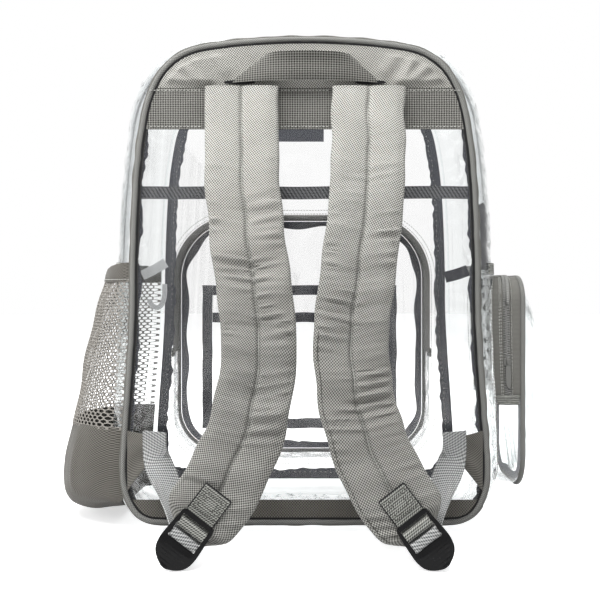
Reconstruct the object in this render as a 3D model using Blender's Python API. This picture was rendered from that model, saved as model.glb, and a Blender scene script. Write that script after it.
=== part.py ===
"""Clear stadium backpack with padded straps, a front zip pocket, a mesh pocket and a clear side pocket.

Metres, +Z up. The wearer's side (the back panel with the straps) faces -Y and the front pocket faces +Y.
The origin is the middle of the flat patch that the bag stands on. Clear sheet and cloth are thin walls,
and neighbours that are sewn together keep GAP between them.
"""
import bmesh
import bpy
import numpy as np

GAP = 0.0003

# Main body
PANEL_WIDTH = 0.332
PANEL_HEIGHT = 0.442
SEAM_HEIGHT = 0.013
DEPTH = 0.155
WALL = 0.001
CLOTH = 0.0012
SIDE_BULGE = 0.0245
PIPING_RADIUS = 0.0024
SEAM_STAND = 0.003
BINDING_WIDTH = 0.011
BINDING_THICKNESS = 0.0015

# Back panel trim
YOKE_HEIGHT = 0.043
BAND_HEIGHT = 0.038
BAND_THICKNESS = 0.0015
BASE_STRIP_TOP = 0.031
SLEEVE_TOP = 0.310
SLEEVE_BINDING_HEIGHT = 0.012
SLEEVE_CLEARANCE = 0.002
LABEL_WIDTH = 0.061
LABEL_HEIGHT = 0.016
LABEL_BELOW_CROWN = 0.064
LABEL_SHIFT = -0.0095

# Main zip
ZIP_WIDTH = 0.028
CHAIN_WIDTH = 0.006
CHAIN_HEIGHT = 0.0013
END_TAB_HEIGHT = 0.011
SLIDER_WIDTH = 0.008
SLIDER_LENGTH = 0.011
SLIDER_HEIGHT = 0.0045
PULL_LENGTH = 0.024
PULL_THICKNESS = 0.0014
SLIDER_SLOPE = 0.0016

# Straps
STRAP_WIDTH = 0.067
STRAP_THICKNESS = 0.013
STRAP_SPACING = 0.058
STRAP_DROP = 0.3875
STRAP_STAND = 0.073
STRAP_TIP_THICKNESS = 0.0078
WEBBING_WIDTH = 0.025
WEBBING_THICKNESS = 0.0014
HANDLE_SPAN = 0.138
HANDLE_STAND = 0.015
HANDLE_ABOVE_BAND = 0.0025

# Ladder lock
LOCK_LENGTH = 0.047
LOCK_WIDTH = 0.034
LOCK_THICKNESS = 0.0036
LOCK_ABOVE_STRAP = 0.0066
LOCK_BEFORE_END = 0.017
EDGE_BAR = 0.004
BAR_LENGTH = 0.004
SLOT_LENGTH = 0.004
SLOT_WIDTH = 0.0262
MIDDLE_SLOT = 0.0065
TAB_SEWN_LENGTH = 0.024
RUN_BEHIND_STRAP = 0.006
RUN_PAST_END = 0.005
RUN_UNDER_LOCK = 0.0088

# Front pocket
FRONT_POCKET_WIDTH = 0.288
FRONT_POCKET_HEIGHT = 0.272
FRONT_POCKET_BOTTOM = 0.036
FRONT_POCKET_SHIFT = -0.004
FRONT_POCKET_DEPTH = 0.042
FRONT_POCKET_DOME = 0.008
FRONT_POCKET_TOP_RADIUS = 0.070
FRONT_POCKET_BOTTOM_RADIUS = 0.050
FRONT_POCKET_TABS = 0.155
POCKET_TAB_HEIGHT = 0.012
POCKET_TAB_INSET = 0.0024
ORGANISER_WIDTH = 0.2185
ORGANISER_LEFT = -0.1155
ORGANISER_BOTTOM = 0.069
ORGANISER_HEIGHT = 0.161
ORGANISER_BINDING = 0.011
ORGANISER_STEP = 0.031

# Right side pocket
SIDE_POCKET_WIDTH = 0.102
SIDE_POCKET_BOTTOM = 0.034
SIDE_POCKET_START = 0.025
SIDE_POCKET_DEPTH = 0.043
SIDE_POCKET_DOME = 0.026
SIDE_POCKET_TOP_RADIUS = 0.024
SIDE_POCKET_BOTTOM_RADIUS = 0.032
SIDE_POCKET_TABS = 0.120

# Left mesh pocket
MESH_TOP = 0.251
MESH_BOTTOM = 0.006
MESH_REACH = 0.071
MESH_WALL = 0.0012
HEM_HEIGHT = 0.018
BASE_TOP = 0.097
NET_COLUMNS = 10
NET_ROWS = 10
NET_OPEN_SHARE = 0.70

# Adjuster wings
WING_TOP = 0.095
WING_BOTTOM = 0.040
WING_REACH = 0.027
WING_STAND = 0.012
WING_TIP = 0.020
WING_TIP_SHARE = 0.76
WEBBING_OVERHANG = 0.004
SEWN_BELOW_TIP = 0.003
SEWN_GAP = 0.00075

# Right half of the panel's outline from the middle of the bottom seam up to the crown, and the side
# wall's bulge at each point. Columns: share of half the width, share of the height, share of SIDE_BULGE.
RIM = np.array([
    (0.000, 0.000, 0.56),
    (0.400, 0.000, 0.56),
    (0.770, 0.000, 0.56),
    (0.890, 0.006, 0.60),
    (0.955, 0.030, 0.68),
    (0.990, 0.065, 0.78),
    (1.000, 0.110, 0.86),
    (0.984, 0.213, 0.95),
    (0.963, 0.321, 1.00),
    (0.948, 0.430, 1.04),
    (0.946, 0.525, 1.04),
    (0.938, 0.630, 1.02),
    (0.925, 0.720, 1.00),
    (0.902, 0.800, 1.00),
    (0.858, 0.880, 1.05),
    (0.775, 0.940, 1.00),
    (0.640, 0.976, 0.85),
    (0.430, 0.991, 0.65),
    (0.200, 0.998, 0.58),
    (0.000, 1.000, 0.56),
])
CORNER_ROW = 3
SIDE_ROW = 6
TAB_ROW = 10
SHOULDER_ROW = 14

# Section of the side wall from the back seam to the front seam. Columns: share of the way across,
# share of the bulge there.
SECTION = np.array([
    (0.00, 0.00),
    (0.06, 0.42),
    (0.17, 0.78),
    (0.31, 0.96),
    (0.50, 1.00),
    (0.69, 0.96),
    (0.83, 0.78),
    (0.94, 0.42),
    (1.00, 0.00),
])

# Route of a shoulder strap's middle from its top end down. Columns: share of STRAP_DROP, share of
# STRAP_SPACING out from the bag's middle, share of STRAP_STAND out from the back, share of STRAP_WIDTH.
STRAP_ROUTE = np.array([
    (0.000, 1.00, 0.00, 1.00),
    (0.040, 1.00, 0.01, 1.00),
    (0.110, 0.99, 0.09, 1.00),
    (0.220, 0.97, 0.23, 1.00),
    (0.315, 0.91, 0.34, 0.99),
    (0.410, 0.83, 0.44, 0.99),
    (0.500, 0.74, 0.53, 0.98),
    (0.600, 0.68, 0.62, 0.97),
    (0.675, 0.71, 0.67, 0.97),
    (0.745, 0.79, 0.73, 0.98),
    (0.815, 0.92, 0.79, 0.99),
    (0.880, 1.12, 0.86, 1.00),
    (0.940, 1.36, 0.93, 0.99),
    (0.980, 1.56, 0.98, 0.94),
    (1.000, 1.67, 1.00, 0.74),
])

# Whole section of the padded strap, seen along it. Columns: share of the width, share of the thickness.
STRAP_SECTION = np.array([
    (-0.50, -0.06),
    (-0.45, -0.40),
    (-0.22, -0.50),
    (0.00, -0.40),
    (0.22, -0.50),
    (0.45, -0.40),
    (0.50, -0.06),
    (0.45, 0.36),
    (0.00, 0.50),
    (-0.45, 0.36),
])

# Haul handle between its two edges. Columns: share of the span at the lower edge, share at the upper
# edge, share of HANDLE_STAND.
HANDLE_ROUTE = np.array([
    (-0.50, -0.27, 0.00),
    (-0.40, -0.24, 0.45),
    (-0.24, -0.17, 0.85),
    (0.00, 0.00, 1.00),
    (0.24, 0.19, 0.85),
    (0.40, 0.27, 0.45),
    (0.50, 0.31, 0.00),
])

# Half outline of the ladder lock from its first edge to the thumb tab's tip. Columns: share of the
# length, share of half the width.
LOCK_OUTLINE = np.array([
    (0.00, 0.78),
    (0.05, 0.90),
    (0.45, 1.00),
    (0.66, 1.00),
    (0.82, 0.86),
    (0.93, 0.55),
    (1.00, 0.16),
])

# Free run of the adjuster webbing from the wing's tip to the back of the ladder lock. Columns: share of
# the way towards the middle, share of the way forward, share of the way down.
ADJUSTER_RUN = np.array([
    (0.16, 0.10, 0.20),
    (0.38, 0.27, 0.42),
    (0.62, 0.52, 0.64),
    (0.84, 0.80, 0.84),
])

# Domed face of a zip pocket from its rim to its middle. Columns: share of the way out from the middle,
# share of the dome.
POCKET_DOME = (
    (1.00, 0.00),
    (0.82, 0.55),
    (0.50, 0.90),
    (0.16, 1.00),
)

# Outer face of the mesh pocket from its mouth down and round its floor. Columns: share of the height,
# share of MESH_REACH.
MESH_PROFILE = np.array([
    (1.000, 0.49),
    (0.927, 0.53),
    (0.812, 0.66),
    (0.608, 0.79),
    (0.371, 0.89),
    (0.220, 0.98),
    (0.118, 1.00),
    (0.057, 0.96),
    (0.020, 0.84),
    (0.000, 0.58),
    (0.006, 0.34),
    (0.012, 0.12),
])
MESH_TURN_ROW = 7

BACK = -DEPTH / 2
FRONT = DEPTH / 2
PIPING_REACH = PIPING_RADIUS + GAP
SEAM_INSET = WALL / 2 + PIPING_REACH
CROWN = SEAM_HEIGHT + PANEL_HEIGHT
YOKE_BOTTOM = CROWN - YOKE_HEIGHT
FIRST_BAR = EDGE_BAR + SLOT_LENGTH
SECOND_BAR = FIRST_BAR + BAR_LENGTH + MIDDLE_SLOT
LAST_SLOT = SECOND_BAR + BAR_LENGTH


def finish(name, colour, roughness, alpha=1.0):
    """A Principled material for one piece."""
    material = bpy.data.materials.new(name)
    material.use_nodes = True
    shader = material.node_tree.nodes["Principled BSDF"]
    shader.inputs["Base Color"].default_value = (*colour, 1.0)
    shader.inputs["Roughness"].default_value = roughness
    shader.inputs["Metallic"].default_value = 0.0
    shader.inputs["Alpha"].default_value = alpha
    material.diffuse_color = (*colour, alpha)
    return material


CLEAR = ((0.86, 0.88, 0.88), 0.08, 0.25)
GREY = ((0.28, 0.28, 0.27), 0.85)
DARK = ((0.09, 0.09, 0.09), 0.85)
WEBBING = ((0.20, 0.20, 0.20), 0.75)
BLACK = ((0.012, 0.012, 0.012), 0.35)
NET = ((0.16, 0.16, 0.16), 0.8)


def solid(name, points, faces, look):
    """One closed body with its faces pointing out."""
    mesh = bpy.data.meshes.new(name)
    mesh.from_pydata([tuple(map(float, point)) for point in points], [], faces)
    shape = bmesh.new()
    shape.from_mesh(mesh)
    bmesh.ops.recalc_face_normals(shape, faces=shape.faces)
    if shape.calc_volume(signed=True) < 0:
        bmesh.ops.reverse_faces(shape, faces=shape.faces)
    shape.to_mesh(mesh)
    shape.free()
    piece = bpy.data.objects.new(name, mesh)
    bpy.context.scene.collection.objects.link(piece)
    mesh.materials.append(finish(name, *look))
    return piece


def skin(name, outer, inner, look, wrap=False):
    """A wall between two grids of points. Rows run along it and wrap joins the last row to the first."""
    rows, columns = outer.shape[:2]
    half = rows * columns
    faces = []
    for row in range(rows if wrap else rows - 1):
        here = row * columns
        ahead = (row + 1) % rows * columns
        for column in range(columns - 1):
            a, b = here + column, ahead + column
            faces += [(a, b, b + 1), (a, b + 1, a + 1)]
            faces += [(half + a, half + b + 1, half + b), (half + a, half + a + 1, half + b + 1)]
        for column in (0, columns - 1):
            a, b = here + column, ahead + column
            faces.append((a, half + a, half + b, b))
    if not wrap:
        for start in (0, half - columns):
            for column in range(columns - 1):
                a = start + column
                faces.append((a, a + 1, half + a + 1, half + a))
    return solid(name, np.concatenate([outer.reshape(-1, 3), inner.reshape(-1, 3)]), faces, look)


def loft(name, rings, look, wrap=False):
    """A solid through closed rings of points, capped at its ends unless it wraps."""
    rows, sides = rings.shape[:2]
    faces = []
    for row in range(rows if wrap else rows - 1):
        here = row * sides
        ahead = (row + 1) % rows * sides
        for side in range(sides):
            beside = (side + 1) % sides
            faces.append((here + side, ahead + side, ahead + beside))
            faces.append((here + side, ahead + beside, here + beside))
    if not wrap:
        faces.append(tuple(range(sides)))
        faces.append(tuple(range((rows - 1) * sides, rows * sides)))
    return solid(name, rings.reshape(-1, 3), faces, look)


def plate(name, outline, thickness, look):
    """A flat sheet: an outline of points pushed along the thickness vector."""
    outline = np.asarray(outline, dtype=float)
    count = len(outline)
    faces = [tuple(range(count)), tuple(range(count, 2 * count))]
    for index in range(count):
        beside = (index + 1) % count
        faces.append((index, beside, count + beside, count + index))
    return solid(name, np.concatenate([outline, outline + np.asarray(thickness)]), faces, look)


def unit(vectors):
    """Vectors at length one."""
    return vectors / np.linalg.norm(vectors, axis=-1, keepdims=True)


def directions(points, wrap=False):
    """The direction of travel at each point of a route."""
    if wrap:
        return unit(np.roll(points, -1, axis=0) - np.roll(points, 1, axis=0))
    return unit(np.gradient(points, axis=0))


def ribbon(name, middle, across, width, thickness, look):
    """A flat strap along a route, with its width along the across vectors."""
    along = directions(middle)
    across = unit(across - along * np.sum(across * along, axis=1, keepdims=True))
    face = np.cross(across, along)
    edges = np.stack([middle - across * width / 2, middle + across * width / 2], axis=1)
    lift = face[:, None] * thickness / 2
    return skin(name, edges + lift, edges - lift, look)


def rim_loop():
    """The panel's outline as a closed loop from the middle of its bottom seam, with outward directions."""
    right = RIM[:, :2] * (PANEL_WIDTH / 2, PANEL_HEIGHT) + (0, SEAM_HEIGHT)
    left = right[-2:0:-1] * (-1, 1)
    loop = np.vstack([right, left])
    along = directions(loop, wrap=True)
    out = np.stack([along[:, 1], -along[:, 0]], axis=1)
    bulge = np.concatenate([RIM[:, 2], RIM[-2:0:-1, 2]]) * SIDE_BULGE
    return loop, out, bulge


LOOP, OUT, BULGE = rim_loop()
COUNT = len(LOOP)
CROWN_ROW = len(RIM) - 1


def rim_at(rows):
    """Outline points, outward directions and bulges at whole or part rows of the loop."""
    rows = np.asarray(rows, dtype=float)
    low = np.floor(rows).astype(int)
    share = (rows - low)[:, None]
    first, second = low % COUNT, (low + 1) % COUNT
    place = LOOP[first] * (1 - share) + LOOP[second] * share
    out = unit(OUT[first] * (1 - share) + OUT[second] * share)
    bulge = BULGE[first] * (1 - share[:, 0]) + BULGE[second] * share[:, 0]
    return place, out, bulge


def rim_row(height, side):
    """The loop's row at a height on the right (side 1) or the left (side -1), above the bottom corner."""
    row = np.interp(height, LOOP[CORNER_ROW:CROWN_ROW + 1, 1], np.arange(CORNER_ROW, CROWN_ROW + 1))
    return row if side > 0 else COUNT - row


def row_step(row, distance):
    """A distance along the outline as a share of the row's own stretch."""
    place = rim_at([np.floor(row), np.floor(row) + 1])[0]
    return distance / np.linalg.norm(place[1] - place[0])


def half_width(height):
    """Half the panel's width at a height above the bottom corner."""
    side = LOOP[CORNER_ROW:CROWN_ROW + 1]
    return np.interp(height, side[:, 1], side[:, 0])


def across_depth(shares):
    """Y of each share of the way from the back seam to the front seam."""
    return BACK + SEAM_INSET + np.asarray(shares) * (DEPTH - 2 * SEAM_INSET)


def section_shape(shares):
    """Share of the bulge at each share of the way across the side wall."""
    return np.interp(shares, SECTION[:, 0], SECTION[:, 1])


def side_wall(rows, shares, lift=0.0):
    """Grid on the side wall's outer face, or lift outside it, pressed flat where it meets the floor."""
    place, out, bulge = rim_at(rows)
    lift = np.broadcast_to(lift, np.shape(shares))
    stand = SEAM_STAND + np.outer(bulge, section_shape(shares)) + lift
    flat = place[:, None] + out[:, None] * stand[..., None]
    depth = np.broadcast_to(across_depth(shares), flat.shape[:2])
    height = np.maximum(flat[..., 1], np.maximum(-lift, 0.0))
    return np.stack([flat[..., 0], depth, height], axis=-1)


def wall_piece(name, rows, shares, look, outer=0.0, inner=-WALL):
    """A stretch of side wall between two lifts from its outer face."""
    return skin(name, side_wall(rows, shares, outer), side_wall(rows, shares, inner), look)


def in_panel(flat, depth):
    """Flat (x, z) points of a panel as points at one depth."""
    flat = np.asarray(flat, dtype=float)
    return np.stack([flat[:, 0], np.full(len(flat), depth), flat[:, 1]], axis=1)


def rim_inset(inset):
    """The panel's outline moved inwards."""
    return LOOP - OUT * inset


def rim_between(low, high, inset):
    """The outline's stretch between two heights as one closed flat shape with level ends."""
    right = [(half_width(low) - inset, low)]
    for place in rim_inset(inset)[:CROWN_ROW + 1]:
        if low < place[1] < high:
            right.append(tuple(place))
    if high < CROWN:
        right.append((half_width(high) - inset, high))
    left = [(-x, z) for x, z in reversed(right) if x > 0]
    return right + left


def tube_round(name, rows_place, rows_out, straight, radius, look, sides=6):
    """A closed cord along an outline. straight is the axis that the outline's plane faces."""
    turn = np.linspace(0, 2 * np.pi, sides, endpoint=False)
    rings = (
        rows_place[:, None]
        + rows_out[:, None] * (np.cos(turn) * radius)[None, :, None]
        + straight * (np.sin(turn) * radius)[None, :, None]
    )
    return loft(name, rings, look, wrap=True)


def panel_and_seam(which, plane, inward):
    """One clear panel with the piping round its edge and the binding inside its seam."""
    plate(f"{which}_panel", in_panel(LOOP, plane), (0, inward * WALL, 0), CLEAR)
    place = in_panel(LOOP + OUT * PIPING_REACH, plane + inward * WALL / 2)
    out = in_panel(OUT, 0.0)
    tube_round(f"{which}_piping", place, out, np.array([0.0, 1.0, 0.0]), PIPING_RADIUS, GREY)
    near = plane + inward * (WALL + GAP)
    far = near + inward * BINDING_THICKNESS
    edge, inner_edge = rim_inset(GAP), rim_inset(BINDING_WIDTH)
    outer = np.stack([in_panel(edge, near), in_panel(inner_edge, near)], axis=1)
    inner = np.stack([in_panel(edge, far), in_panel(inner_edge, far)], axis=1)
    skin(f"{which}_seam_binding", outer, inner, DARK, wrap=True)


def back_trim():
    """Yoke, webbing band and base strip on the outside of the back panel."""
    face = BACK - GAP
    yoke = rim_between(YOKE_BOTTOM + GAP, CROWN, GAP)
    plate("back_yoke", in_panel(yoke, face), (0, -CLOTH, 0), GREY)
    band = rim_between(YOKE_BOTTOM - BAND_HEIGHT, YOKE_BOTTOM, GAP)
    plate("webbing_band", in_panel(band, face), (0, -BAND_THICKNESS, 0), WEBBING)
    base = [place for place in rim_inset(GAP) if place[1] < BASE_STRIP_TOP - GAP]
    right = [place for place in base if place[0] >= 0]
    right.append((half_width(BASE_STRIP_TOP) - GAP, BASE_STRIP_TOP))
    left = [(-x, z) for x, z in reversed(right) if x > 0]
    plate("back_base_strip", in_panel(right + left, face), (0, -CLOTH, 0), GREY)


def inner_sleeve():
    """The clear sleeve behind the back panel, with a binding along its mouth."""
    near = BACK + WALL + BINDING_THICKNESS + 2 * GAP
    inset = SLEEVE_CLEARANCE
    right = [tuple(place) for place in rim_inset(inset)[:CROWN_ROW] if place[1] < SLEEVE_TOP - GAP]
    right.append((half_width(SLEEVE_TOP) - inset, SLEEVE_TOP))
    left = [(-x, z) for x, z in reversed(right) if x > 0]
    plate("sleeve_sheet", in_panel(right + left, near), (0, WALL, 0), CLEAR)
    binding = rim_between(SLEEVE_TOP + GAP, SLEEVE_TOP + SLEEVE_BINDING_HEIGHT, inset)
    plate("sleeve_binding", in_panel(binding, near), (0, BINDING_THICKNESS, 0), DARK)


def rectangle(left, bottom, width, height):
    """Corners of an upright rectangle in a panel."""
    return [(left, bottom), (left + width, bottom), (left + width, bottom + height), (left, bottom + height)]


def label_patch():
    """A bare patch on the inside of the front panel."""
    corners = rectangle(LABEL_SHIFT - LABEL_WIDTH / 2, CROWN - LABEL_BELOW_CROWN, LABEL_WIDTH, LABEL_HEIGHT)
    plate("inner_label_patch", in_panel(corners, FRONT - WALL - GAP), (0, -CLOTH, 0), DARK)


def zip_stations():
    """Shares across the side wall where the zip's edges and its chain's edges lie."""
    span = DEPTH - 2 * SEAM_INSET
    edge = ZIP_WIDTH / 2 / span
    chain = CHAIN_WIDTH / 2 / span
    bevel = CHAIN_HEIGHT / 2 / span
    shares = np.array([-edge, -chain - bevel, -chain, chain, chain + bevel, edge]) + 0.5
    lift = np.array([0.0, 0.0, 1.0, 1.0, 0.0, 0.0]) * CHAIN_HEIGHT
    return shares, lift, edge + GAP / span


def gusset():
    """The side wall: one clear piece below the end tabs, and two clear strips with the zip above them."""
    low_shares = SECTION[:, 0]
    right, left = TAB_ROW, COUNT - TAB_ROW
    step = row_step(right, GAP / 2)
    lower = np.concatenate([[left + step], np.arange(left + 1, COUNT + right), [COUNT + right - step]])
    upper = np.concatenate([[right + step], np.arange(right + 1, left), [left - step]])
    wall_piece("gusset_lower", lower, low_shares, CLEAR)
    shares, lift, reach = zip_stations()
    back = np.append(low_shares[low_shares < 0.5 - reach], 0.5 - reach)
    wall_piece("gusset_upper_back", upper, back, CLEAR)
    wall_piece("gusset_upper_front", upper, 1.0 - back[::-1], CLEAR)
    wall_piece("main_zip", upper, shares, DARK, outer=lift)
    half = len(low_shares) // 2
    tab_shares = np.concatenate([low_shares[1:half], shares[[1, 4]], low_shares[half + 1:-1]])
    lift = np.where(abs(tab_shares - 0.5) < reach, CHAIN_HEIGHT, 0.0) + GAP
    for name, row in (("gusset_tab_right", right), ("gusset_tab_left", left)):
        below, above = row_step(row - 1, END_TAB_HEIGHT / 2), row_step(row, END_TAB_HEIGHT / 2)
        wall_piece(name, [row - below, row, row + above], tab_shares, WEBBING, outer=lift + CLOTH, inner=lift)


def frame_on(place, out, along):
    """Three directions of a small part that sits on a surface: across it, along it and out of it."""
    out = unit(out)
    along = unit(along - out * np.dot(along, out))
    return np.cross(along, out), along, out


def slider(name, place, out, along, look=DARK):
    """A zip slider with its pull lying along the chain. place is on the chain's top."""
    across, along, out = frame_on(place, out, along)
    profile = np.array([
        (0.0, 0.0),
        (SLIDER_LENGTH, 0.0),
        (SLIDER_LENGTH, PULL_THICKNESS),
        (SLIDER_LENGTH + PULL_LENGTH, PULL_THICKNESS),
        (SLIDER_LENGTH + PULL_LENGTH, 2 * PULL_THICKNESS),
        (SLIDER_LENGTH, 2 * PULL_THICKNESS),
        (SLIDER_LENGTH - SLIDER_SLOPE, SLIDER_HEIGHT),
        (SLIDER_SLOPE, SLIDER_HEIGHT),
    ])
    corner = place + out * GAP - across * SLIDER_WIDTH / 2
    outline = corner + profile[:, :1] * along + profile[:, 1:] * out
    plate(name, outline, across * SLIDER_WIDTH, look)


def main_slider():
    """The main zip's slider, parked above the right end tab."""
    row = rim_row(LOOP[TAB_ROW, 1] + END_TAB_HEIGHT + PULL_LENGTH + SLIDER_LENGTH, 1)
    lift = CHAIN_HEIGHT
    ahead = row - row_step(row, SLIDER_LENGTH)
    top = side_wall([row, ahead], [0.5], lift)[:, 0]
    out = in_panel(rim_at([(row + ahead) / 2])[1], 0.0)[0]
    slider("main_zip_slider", top[0] + out * GAP, out, top[1] - top[0])


def strap_frames(side):
    """Middle, across and face directions of a shoulder strap at each of its rows."""
    surface = BAND_THICKNESS + 2 * GAP + STRAP_THICKNESS / 2
    x = side * STRAP_ROUTE[:, 1] * STRAP_SPACING
    y = BACK - surface - STRAP_ROUTE[:, 2] * STRAP_STAND
    z = YOKE_BOTTOM - GAP - STRAP_ROUTE[:, 0] * STRAP_DROP
    middle = np.stack([x, y, z], axis=1)
    along = directions(middle)
    along[0] = (0.0, 0.0, -1.0)
    across = unit(np.cross(along, (0.0, 1.0, 0.0)))
    return middle, along, across, np.cross(along, across)


def shoulder_strap(name, side):
    """A padded strap with a stitched dip down its middle."""
    middle, along, across, face = strap_frames(side)
    width = STRAP_ROUTE[:, 3] * STRAP_WIDTH
    thickness = np.full(len(width), STRAP_THICKNESS)
    thickness[-1] = STRAP_TIP_THICKNESS
    rings = (
        middle[:, None]
        + across[:, None] * (width[:, None] * STRAP_SECTION[:, 0])[..., None]
        - face[:, None] * (thickness[:, None] * STRAP_SECTION[:, 1])[..., None]
    )
    loft(name, rings, GREY)


def lock_frame(side):
    """Origin on the ladder lock's first edge, with its along, across and face directions."""
    middle, along, across, face = strap_frames(side)
    along, across, face = along[-2], across[-2], face[-2]
    half = LOCK_OUTLINE[:, 1:] * LOCK_WIDTH / 2
    reach = LOCK_OUTLINE[:, :1] * LOCK_LENGTH
    edge = np.concatenate([reach * along + half * across, reach * along - half * across])
    lowest = edge[:, 2].min() - abs(face[2]) * LOCK_THICKNESS / 2
    place = middle[-1] - along * LOCK_BEFORE_END + face * (STRAP_THICKNESS / 2 + LOCK_ABOVE_STRAP)
    place[2] = max(place[2], GAP - lowest)
    return place, along, across, face


def in_lock(frame, reach, sideways, height):
    """A point given along, across and above the ladder lock's plane."""
    place, along, across, face = frame
    return place + along * reach + across * sideways + face * height


def ladder_lock(name, side):
    """The black ladder lock: two slots for webbing behind a rounded thumb tab."""
    frame = lock_frame(side)
    half = [(reach * LOCK_LENGTH, width * LOCK_WIDTH / 2) for reach, width in LOCK_OUTLINE]
    outline = half + [(reach, -width) for reach, width in reversed(half)]
    base = [in_lock(frame, reach, width, -LOCK_THICKNESS / 2) for reach, width in outline]
    lock = plate(name, base, frame[3] * LOCK_THICKNESS, BLACK)
    slots = (
        ("first", EDGE_BAR, FIRST_BAR),
        ("middle", FIRST_BAR + BAR_LENGTH, SECOND_BAR),
        ("last", LAST_SLOT, LAST_SLOT + SLOT_LENGTH),
    )
    for kind, start, end in slots:
        wide = SLOT_WIDTH / 2
        corners = [(start, -wide), (end, -wide), (end, wide), (start, wide)]
        base = [in_lock(frame, reach, width, -LOCK_THICKNESS) for reach, width in corners]
        cutter = plate(f"{name}_{kind}_cutter", base, frame[3] * 2 * LOCK_THICKNESS, BLACK)
        cutter.hide_render = True
        cutter.display_type = "WIRE"
        cut = lock.modifiers.new(kind, "BOOLEAN")
        cut.operation = "DIFFERENCE"
        cut.solver = "EXACT"
        cut.object = cutter


def round_bar(reach, side_of_lock, start, stop):
    """Route points round one long edge of a bar, from one angle to another, in (reach, height)."""
    turn = np.radians(np.linspace(start, stop, 3))
    radius = WEBBING_THICKNESS / 2 + 2 * GAP
    height = side_of_lock * LOCK_THICKNESS / 2
    return list(zip(reach + radius * np.cos(turn), height + radius * np.sin(turn)))


def strap_tab(name, side):
    """Webbing sewn on the strap's end that passes under the lock's edge and round its first bar."""
    frame = lock_frame(side)
    seat = -LOCK_ABOVE_STRAP + 2 * GAP + WEBBING_THICKNESS / 2
    far = FIRST_BAR + BAR_LENGTH
    route = [(-TAB_SEWN_LENGTH, seat), (EDGE_BAR, seat)] + round_bar(FIRST_BAR, -1, 180, 180)[:1]
    route += round_bar(FIRST_BAR, 1, 180, 90) + round_bar(far, 1, 90, 0) + round_bar(far, -1, 0, -90)
    route.append((FIRST_BAR + BAR_LENGTH / 2, route[-1][1]))
    middle = np.array([in_lock(frame, reach, 0.0, height) for reach, height in route])
    across = np.broadcast_to(frame[2], middle.shape)
    ribbon(name, middle, across, WEBBING_WIDTH, WEBBING_THICKNESS, WEBBING)


def wing_corners(side):
    """Corners of an adjuster wing: its seam from the top down, then its free edge from the bottom up."""
    face = BACK - GAP - CLOTH
    seam = [(side * (half_width(height) - GAP), face, height) for height in (WING_TOP, WING_BOTTOM)]
    middle = WING_BOTTOM + (WING_TOP - WING_BOTTOM) * WING_TIP_SHARE
    free = [
        (side * (half_width(middle) - WING_REACH), face - WING_STAND, middle + rise)
        for rise in (-WING_TIP / 2, WING_TIP / 2)
    ]
    return np.array(seam + free)


def wing(name, side):
    """The cloth triangle sewn into the back seam that holds the adjuster webbing."""
    corners = wing_corners(side)
    face = wing_face(corners)
    grid = corners[[0, 3, 1, 2]].reshape(2, 2, 3)
    skin(name, grid, grid + face * CLOTH, GREY)


def wing_face(corners):
    """The direction that a wing's outer face looks in."""
    face = unit(np.cross(corners[1] - corners[0], corners[3] - corners[0]))
    return -face if face[1] > 0 else face


def adjuster(name, side):
    """Webbing from the wing up through the ladder lock's last slot and down through its middle one."""
    frame = lock_frame(side)
    behind = -LOCK_ABOVE_STRAP - STRAP_THICKNESS
    tail = -LOCK_ABOVE_STRAP + WEBBING_THICKNESS / 2 + 2 * GAP
    through = [
        (LOCK_BEFORE_END + RUN_PAST_END, behind - RUN_BEHIND_STRAP),
        (LAST_SLOT + SLOT_LENGTH, -RUN_UNDER_LOCK),
    ]
    through += round_bar(LAST_SLOT, -1, 0, 0)[:1] + round_bar(LAST_SLOT, 1, 0, 90)
    through += round_bar(SECOND_BAR, 1, 90, 180) + round_bar(SECOND_BAR, -1, 180, 180)[:1]
    through += [(SECOND_BAR - WEBBING_THICKNESS * 2, tail), (FIRST_BAR + BAR_LENGTH / 2, tail)]
    held = np.array([in_lock(frame, reach, 0.0, height) for reach, height in through])
    corners = wing_corners(side)
    face = wing_face(corners)
    tip = corners[2:].mean(axis=0)
    outward = unit(corners[0] - tip)
    lift = face * (CLOTH + SEWN_GAP + WEBBING_THICKNESS / 2)
    start = tip - outward * WEBBING_OVERHANG + lift
    sewn = np.array([start + (0.0, 0.0, WING_TIP / 2), start - (0.0, 0.0, SEWN_BELOW_TIP)])
    run = sewn[-1] + (held[0] - sewn[-1]) * ADJUSTER_RUN
    middle = np.vstack([sewn, run, held])
    blend = np.clip((np.arange(len(middle)) - 1) / len(ADJUSTER_RUN), 0, 1)[:, None]
    across = unit(outward * (1 - blend) + frame[2] * side * blend)
    ribbon(name, middle, across, WEBBING_WIDTH, WEBBING_THICKNESS, WEBBING)


def haul_handle():
    """Webbing across the strap tops that stands off the yoke."""
    rest = BACK - CLOTH - 2 * GAP
    stand = HANDLE_ROUTE[:, 2] * HANDLE_STAND
    bottom = np.full(len(stand), YOKE_BOTTOM + HANDLE_ABOVE_BAND)
    low = np.stack([HANDLE_ROUTE[:, 0] * HANDLE_SPAN, rest - stand, bottom], axis=1)
    high = low + (0.0, 0.0, WEBBING_WIDTH)
    high[:, 0] = HANDLE_ROUTE[:, 1] * HANDLE_SPAN
    thick = np.array([0.0, -WEBBING_THICKNESS, 0.0])
    grid = np.stack([low, high], axis=1)
    skin("haul_handle", grid + thick, grid, WEBBING)


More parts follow.
